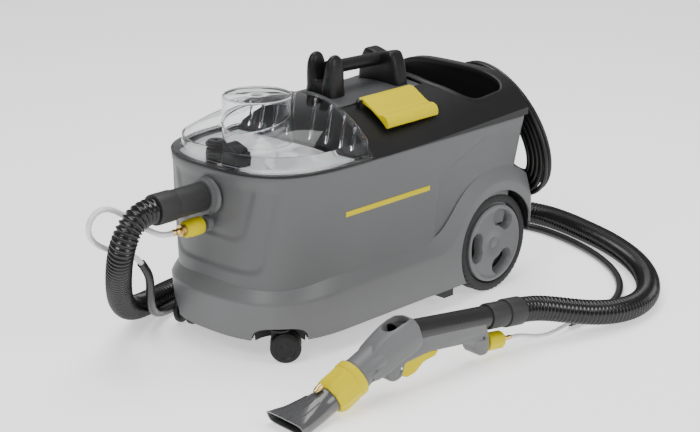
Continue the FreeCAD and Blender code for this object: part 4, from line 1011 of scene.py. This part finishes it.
PORT_CUFF = [(16, 0), (23.4, 0), (24.4, 0.8), (24.6, 2.5), (24.6, 33), (24.2, 35.4), (23.2, 36.4),
             (22.4, 37), (22.4, 38.4), (23, 39), (23, 97.2), (22.4, 98.3), (19.2, 98.5), (19.2, 114),
             (16, 114)]
cuff = lathe("cuff_form", PORT_CUFF, ("machine", CUFF, "black_rubber"), spot(-383, 0, 259, (90, "Y")))
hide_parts("hose_cuff")
SLEEVE = [(6.8, 0), (11.4, 0), (12.4, 0.8), (13.4, 3), (13.4, 10.5), (14, 11.8), (14.5, 12.8), (14.5, 32),
          (13.6, 34), (12.6, 34.9), (6.8, 35)]
sleeve = lathe("coupler_form", SLEEVE, ("sleeve", YELLOW, "yellow_plastic"),
               spot(-323, 0, 213.5, (90, "Y")), steps=64)
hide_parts("coupler_sleeve")

# ---- hand tool

TUBE_RISE, NECK_DIP = 6.3, 24.2
TOOL = spot(92.5, -352.5, 0, (175, "Z"))
TUBE = spot(0, 0, 62, (90 - TUBE_RISE, "Y"), start=TOOL)
NECK = spot(340, 0, 63.5, (90 + NECK_DIP, "Y"), start=TOOL)
COUPLER = spot(0, 0, 19, (90 - TUBE_RISE, "Y"), start=TOOL)


def fluted(name, profile, count, depth, low, high, kind, at):
    """A turned piece with shallow flats pressed in between two heights."""
    fine = 10
    rings = []
    for step in range(count * fine):
        angle = 2 * pi * step / (count * fine)
        hollow = depth * (1 - (abs((step / fine) % 1.0 - 0.5) * 2) ** 2)
        rings.append(turned(angle, [(r - hollow * ease((z - low) / 5) * ease((high - z) / 5), z)
                                    for r, z in profile]))
    return loft(name, rings, kind, at, sharp=35, closed=True)


TOOL_CUFF = [(16, 24), (22, 24), (23, 25), (23, 57.5), (22.4, 58.6), (20.2, 59.2), (20.2, 61), (21, 61.8),
             (21, 97), (20.2, 98.6), (18.6, 99), (18.3, 99), (18.3, 66), (16, 66)]
tool_cuff = lathe("tool_cuff_form", TOOL_CUFF, ("swivel_cuff", CUFF, "black_rubber"), TUBE)
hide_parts("tool_cuff")
tube = lathe("tube_form", [(16, 68), (18, 68), (18, 298), (16, 298)],
             ("machine", TUBE_BLACK, "black_plastic"), TUBE, steps=72)
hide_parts("tool_tube")

GRIP = [(108, 20), (104, 28), (105, 44), (109, 60), (113, 76), (140, 84), (252, 92), (262, 66), (300, 56),
        (322, 44), (316, 30), (304, 26), (290, 30), (284, 50), (232, 56), (210, 53), (141, 46), (134, 36),
        (130, 24), (124, 18), (112, 18)]
grip = moulded("grip_form", GRIP, -17, 17, 2.6, FIXED_GREY, TOOL, corner=5)
PIN = spot(291, 0, 44, (90, "X"), start=TOOL)
carve(grip, bore(18, 58, 320, TUBE),
      prism("trigger_room", [(206, 40), (206, 61), (262, 64), (297, 60), (297, 16), (240, 16)], -8.3, 8.3,
            FIXED_GREY, TOOL),
      bore(3.2, -40, 40, spot(117, 0, 47, (90, "X"), start=TOOL), 32),
      bore(2.6, -40, -14, PIN, 32), bore(2.6, 14, 40, PIN, 32))
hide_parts("tool_grip")

# (distance along, height of the top and of the foot, half width at the top and at the foot)
HEAD = ((253, 95, 74, 17, 21), (257, 107, 71, 16.5, 23.5), (264, 115.5, 67.5, 17.5, 25),
        (276, 117.5, 64, 19.5, 26), (290, 114.5, 60, 20.5, 26), (304, 109.5, 55, 20, 26),
        (318, 103, 48.5, 19, 25.5), (332, 95.5, 43, 18, 25), (344, 88, 41, 17.5, 24.5),
        (354, 77, 41, 17.5, 24))


def head_ring(x, top, foot, half_top, half_foot):
    """A cross-section of the head: a narrow crowned top, sloped cheeks and a rounded foot."""
    cheek = foot + 0.42 * (top - foot)
    corners = [(-half_foot, foot), (half_foot, foot), (half_foot, cheek), (half_top, top - 2),
               (half_top * 0.5, top), (-half_top * 0.5, top), (-half_top, top - 2), (-half_foot, cheek)]
    return [(x, y, z) for y, z in rounded(corners, 7, 5)]


# the window in the head's top: a corner outline and its height, at its floor and above the skin
WINDOW = (
    ([(-21, -7), (-15, -12), (11, -10.5), (17.5, -5), (17.5, 5), (11, 10.5), (-15, 12), (-21, 7)], -13),
    ([(-27, -10), (-18, -16.5), (14, -14.5), (23, -7), (23, 7), (14, 14.5), (-18, 16.5), (-27, 10)], 6))
head = loft("head_form", [head_ring(*row) for row in HEAD], FIXED_GREY, TOOL, sharp=30)
carve(head, bore(18, 58, 298, TUBE),
      loft("window_cut", [[(x, y, z) for x, y in rounded(corners, 4, 5)] for corners, z in WINDOW],
           FIXED_GREY, spot(293, 0, 113, (22, "Y"), start=TOOL), sharp=0))
soften(head, 0.0016, 3)
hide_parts("tool_head")
neck = lathe("neck_form", [(19, -14), (24.2, -14), (25, -8), (25, 26), (25.6, 27), (25.6, 31), (25, 32),
                           (25, 70), (19, 70)], FIXED_GREY, NECK)
carve(neck, bore(3.4, -60, -22, spot(0, 0, 12, (90, "X"), start=NECK), 32))
refined("trigger_form", "tool_trigger", ("trigger", YELLOW, "yellow_plastic"), 0.0015, 4)
NUT = [(25.2, 34), (28, 34), (29.4, 34.8), (30, 36), (30, 46), (29.4, 47), (28.6, 47.6), (28.6, 49),
       (29.4, 50), (30.4, 52), (30.4, 60), (30.4, 68), (30.4, 76), (29.8, 80), (28.4, 84), (26.6, 87),
       (25, 88), (22.2, 88), (22.2, 79), (25.2, 79)]
nut = fluted("nut_form", NUT, 9, 2.6, 49, 90, ("nut", YELLOW, "yellow_plastic"), NECK)
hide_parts("union_nut")
TOOL_SLEEVE = [(4.8, 64), (11.6, 64), (13, 64.6), (14.4, 67), (15, 72), (15, 95.4), (14.6, 98), (13.4, 99),
               (4.8, 99)]
tool_sleeve = fluted("tool_sleeve_form", TOOL_SLEEVE, 8, 0.7, 66, 98,
                     ("tool_sleeve", YELLOW, "yellow_plastic"), COUPLER)
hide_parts("tool_coupler_sleeve")


def mouth_ring(s, half_x, half_y, power, shift, wall=0.0):
    """A ring across the nozzle, in the neck's axes."""
    return [(x + shift, y, s) for x, y, _ in oval_ring(0, 0, 0, half_x - wall, half_y - wall, power, 48)]


# (distance along the neck, half height, half width, squareness, shift off the neck's axis)
NOZZLE = ((72, 21.6, 21.6, 2, 0), (90, 21.6, 21.6, 2, 0), (97, 21.4, 21.8, 2, -0.8),
          (104, 21.2, 22.5, 2.05, -1.7), (112, 20.2, 24.6, 2.2, -3), (120, 19, 27, 2.4, -4.5),
          (134, 16.8, 31, 2.8, -8.2), (148, 14.5, 35, 3.2, -12.3), (158, 13, 38, 4, -15.8),
          (167.5, 11.8, 40.4, 4.8, -19.1), (168.5, 12, 40.9, 5, -19.5), (170, 12, 41, 5, -20))
outside = [mouth_ring(*row) for row in NOZZLE]
inside = [mouth_ring(*row, wall=2.6) for row in reversed(NOZZLE)]
nozzle = loft("nozzle_form", outside + inside, FIXED_SMOKE, NECK, sharp=35, closed=True)
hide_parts("upholstery_nozzle")
for index, across in enumerate((-0.62, -0.2, 0.2, 0.62)):
    ridge = []
    for s, hx, hy, power, shift in NOZZLE[4:11]:
        top = shift - hx * (1 - abs(across) ** power) ** (1 / power)
        ridge.append([(top + 1, across * hy - 1.1, s), (top - 1.3, across * hy - 0.7, s),
                      (top - 1.3, across * hy + 0.7, s), (top + 1, across * hy + 1.1, s)])
    loft(f"nozzle_rib_{index}", ridge, FIXED_SMOKE, NECK, sharp=30)

# ---- stripe and small parts

stripe_rows = []
for z in (0.2212, 0.2255, 0.2298):
    side = sorted((x, y) for x, y, _ in tank_ring(z) if y < -0.1 and -0.2 < x < 0.1)
    row = []
    for step in range(67):
        x = -0.123 + 0.198 * step / 66
        after = next(index for index, (px, _) in enumerate(side) if px > x)
        (x0, y0), (x1, y1) = side[after - 1], side[after]
        row.append((x * 1000, (y0 + (y1 - y0) * (x - x0) / (x1 - x0)) * 1000 - 0.35, z * 1000))
    stripe_rows.append(row)
sheet("side_stripe", stripe_rows, 0.0003, ("machine", YELLOW, "yellow_plastic"))

refined("underbody_form", "underbody_plate", FIXED_BLACK, 0.0012, 2)
# the CAD parts that keep their own shape
for material, nodes in (
        (BLACK, ("top_cover", "carry_handle", "motor_switch", "pump_switch", "cord_hook", "vacuum_motor",
                 "motor_fan", "water_pump")),
        (MILK, ("float_cage", "float_ball")), (GREY, ("suction_port",)), (HUB_GREY, ("coupler_socket",)),
        (RUBBER, ("rim_seal", "cord_gland", "mains_plug")),
        (STEEL, ("latch_pin", "rear_axle", "trigger_pin", "trigger_spring", "housing_screws")),
        (BRASS, ("coupler_barb", "tool_coupler_barb", "spray_tip", "spray_valve", "plug_pins"))):
    for node in nodes:
        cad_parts[node].data.materials.clear()
        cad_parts[node].data.materials.append(material)

# ---- floor

floor = bpy.data.meshes.new("floor")
FLOOR_HALF = 40
floor.from_pydata([(x * FLOOR_HALF, y * FLOOR_HALF, -0.0002)
                   for x, y in ((-1, -1), (1, -1), (1, 1), (-1, 1))], [], [(0, 1, 2, 3)])
pale = surface("floor_paint", (0.95, 0.95, 0.95), 0.6, grain=0.0, wear=0.0, vary=0.004)
preset(pale.node_tree.nodes["Principled BSDF"],
       {"Emission Color": (1.0, 1.0, 1.0, 1.0), "Emission Strength": 0.75})
floor.materials.append(pale)
ground = bpy.data.objects.new("floor", floor)
link(ground)
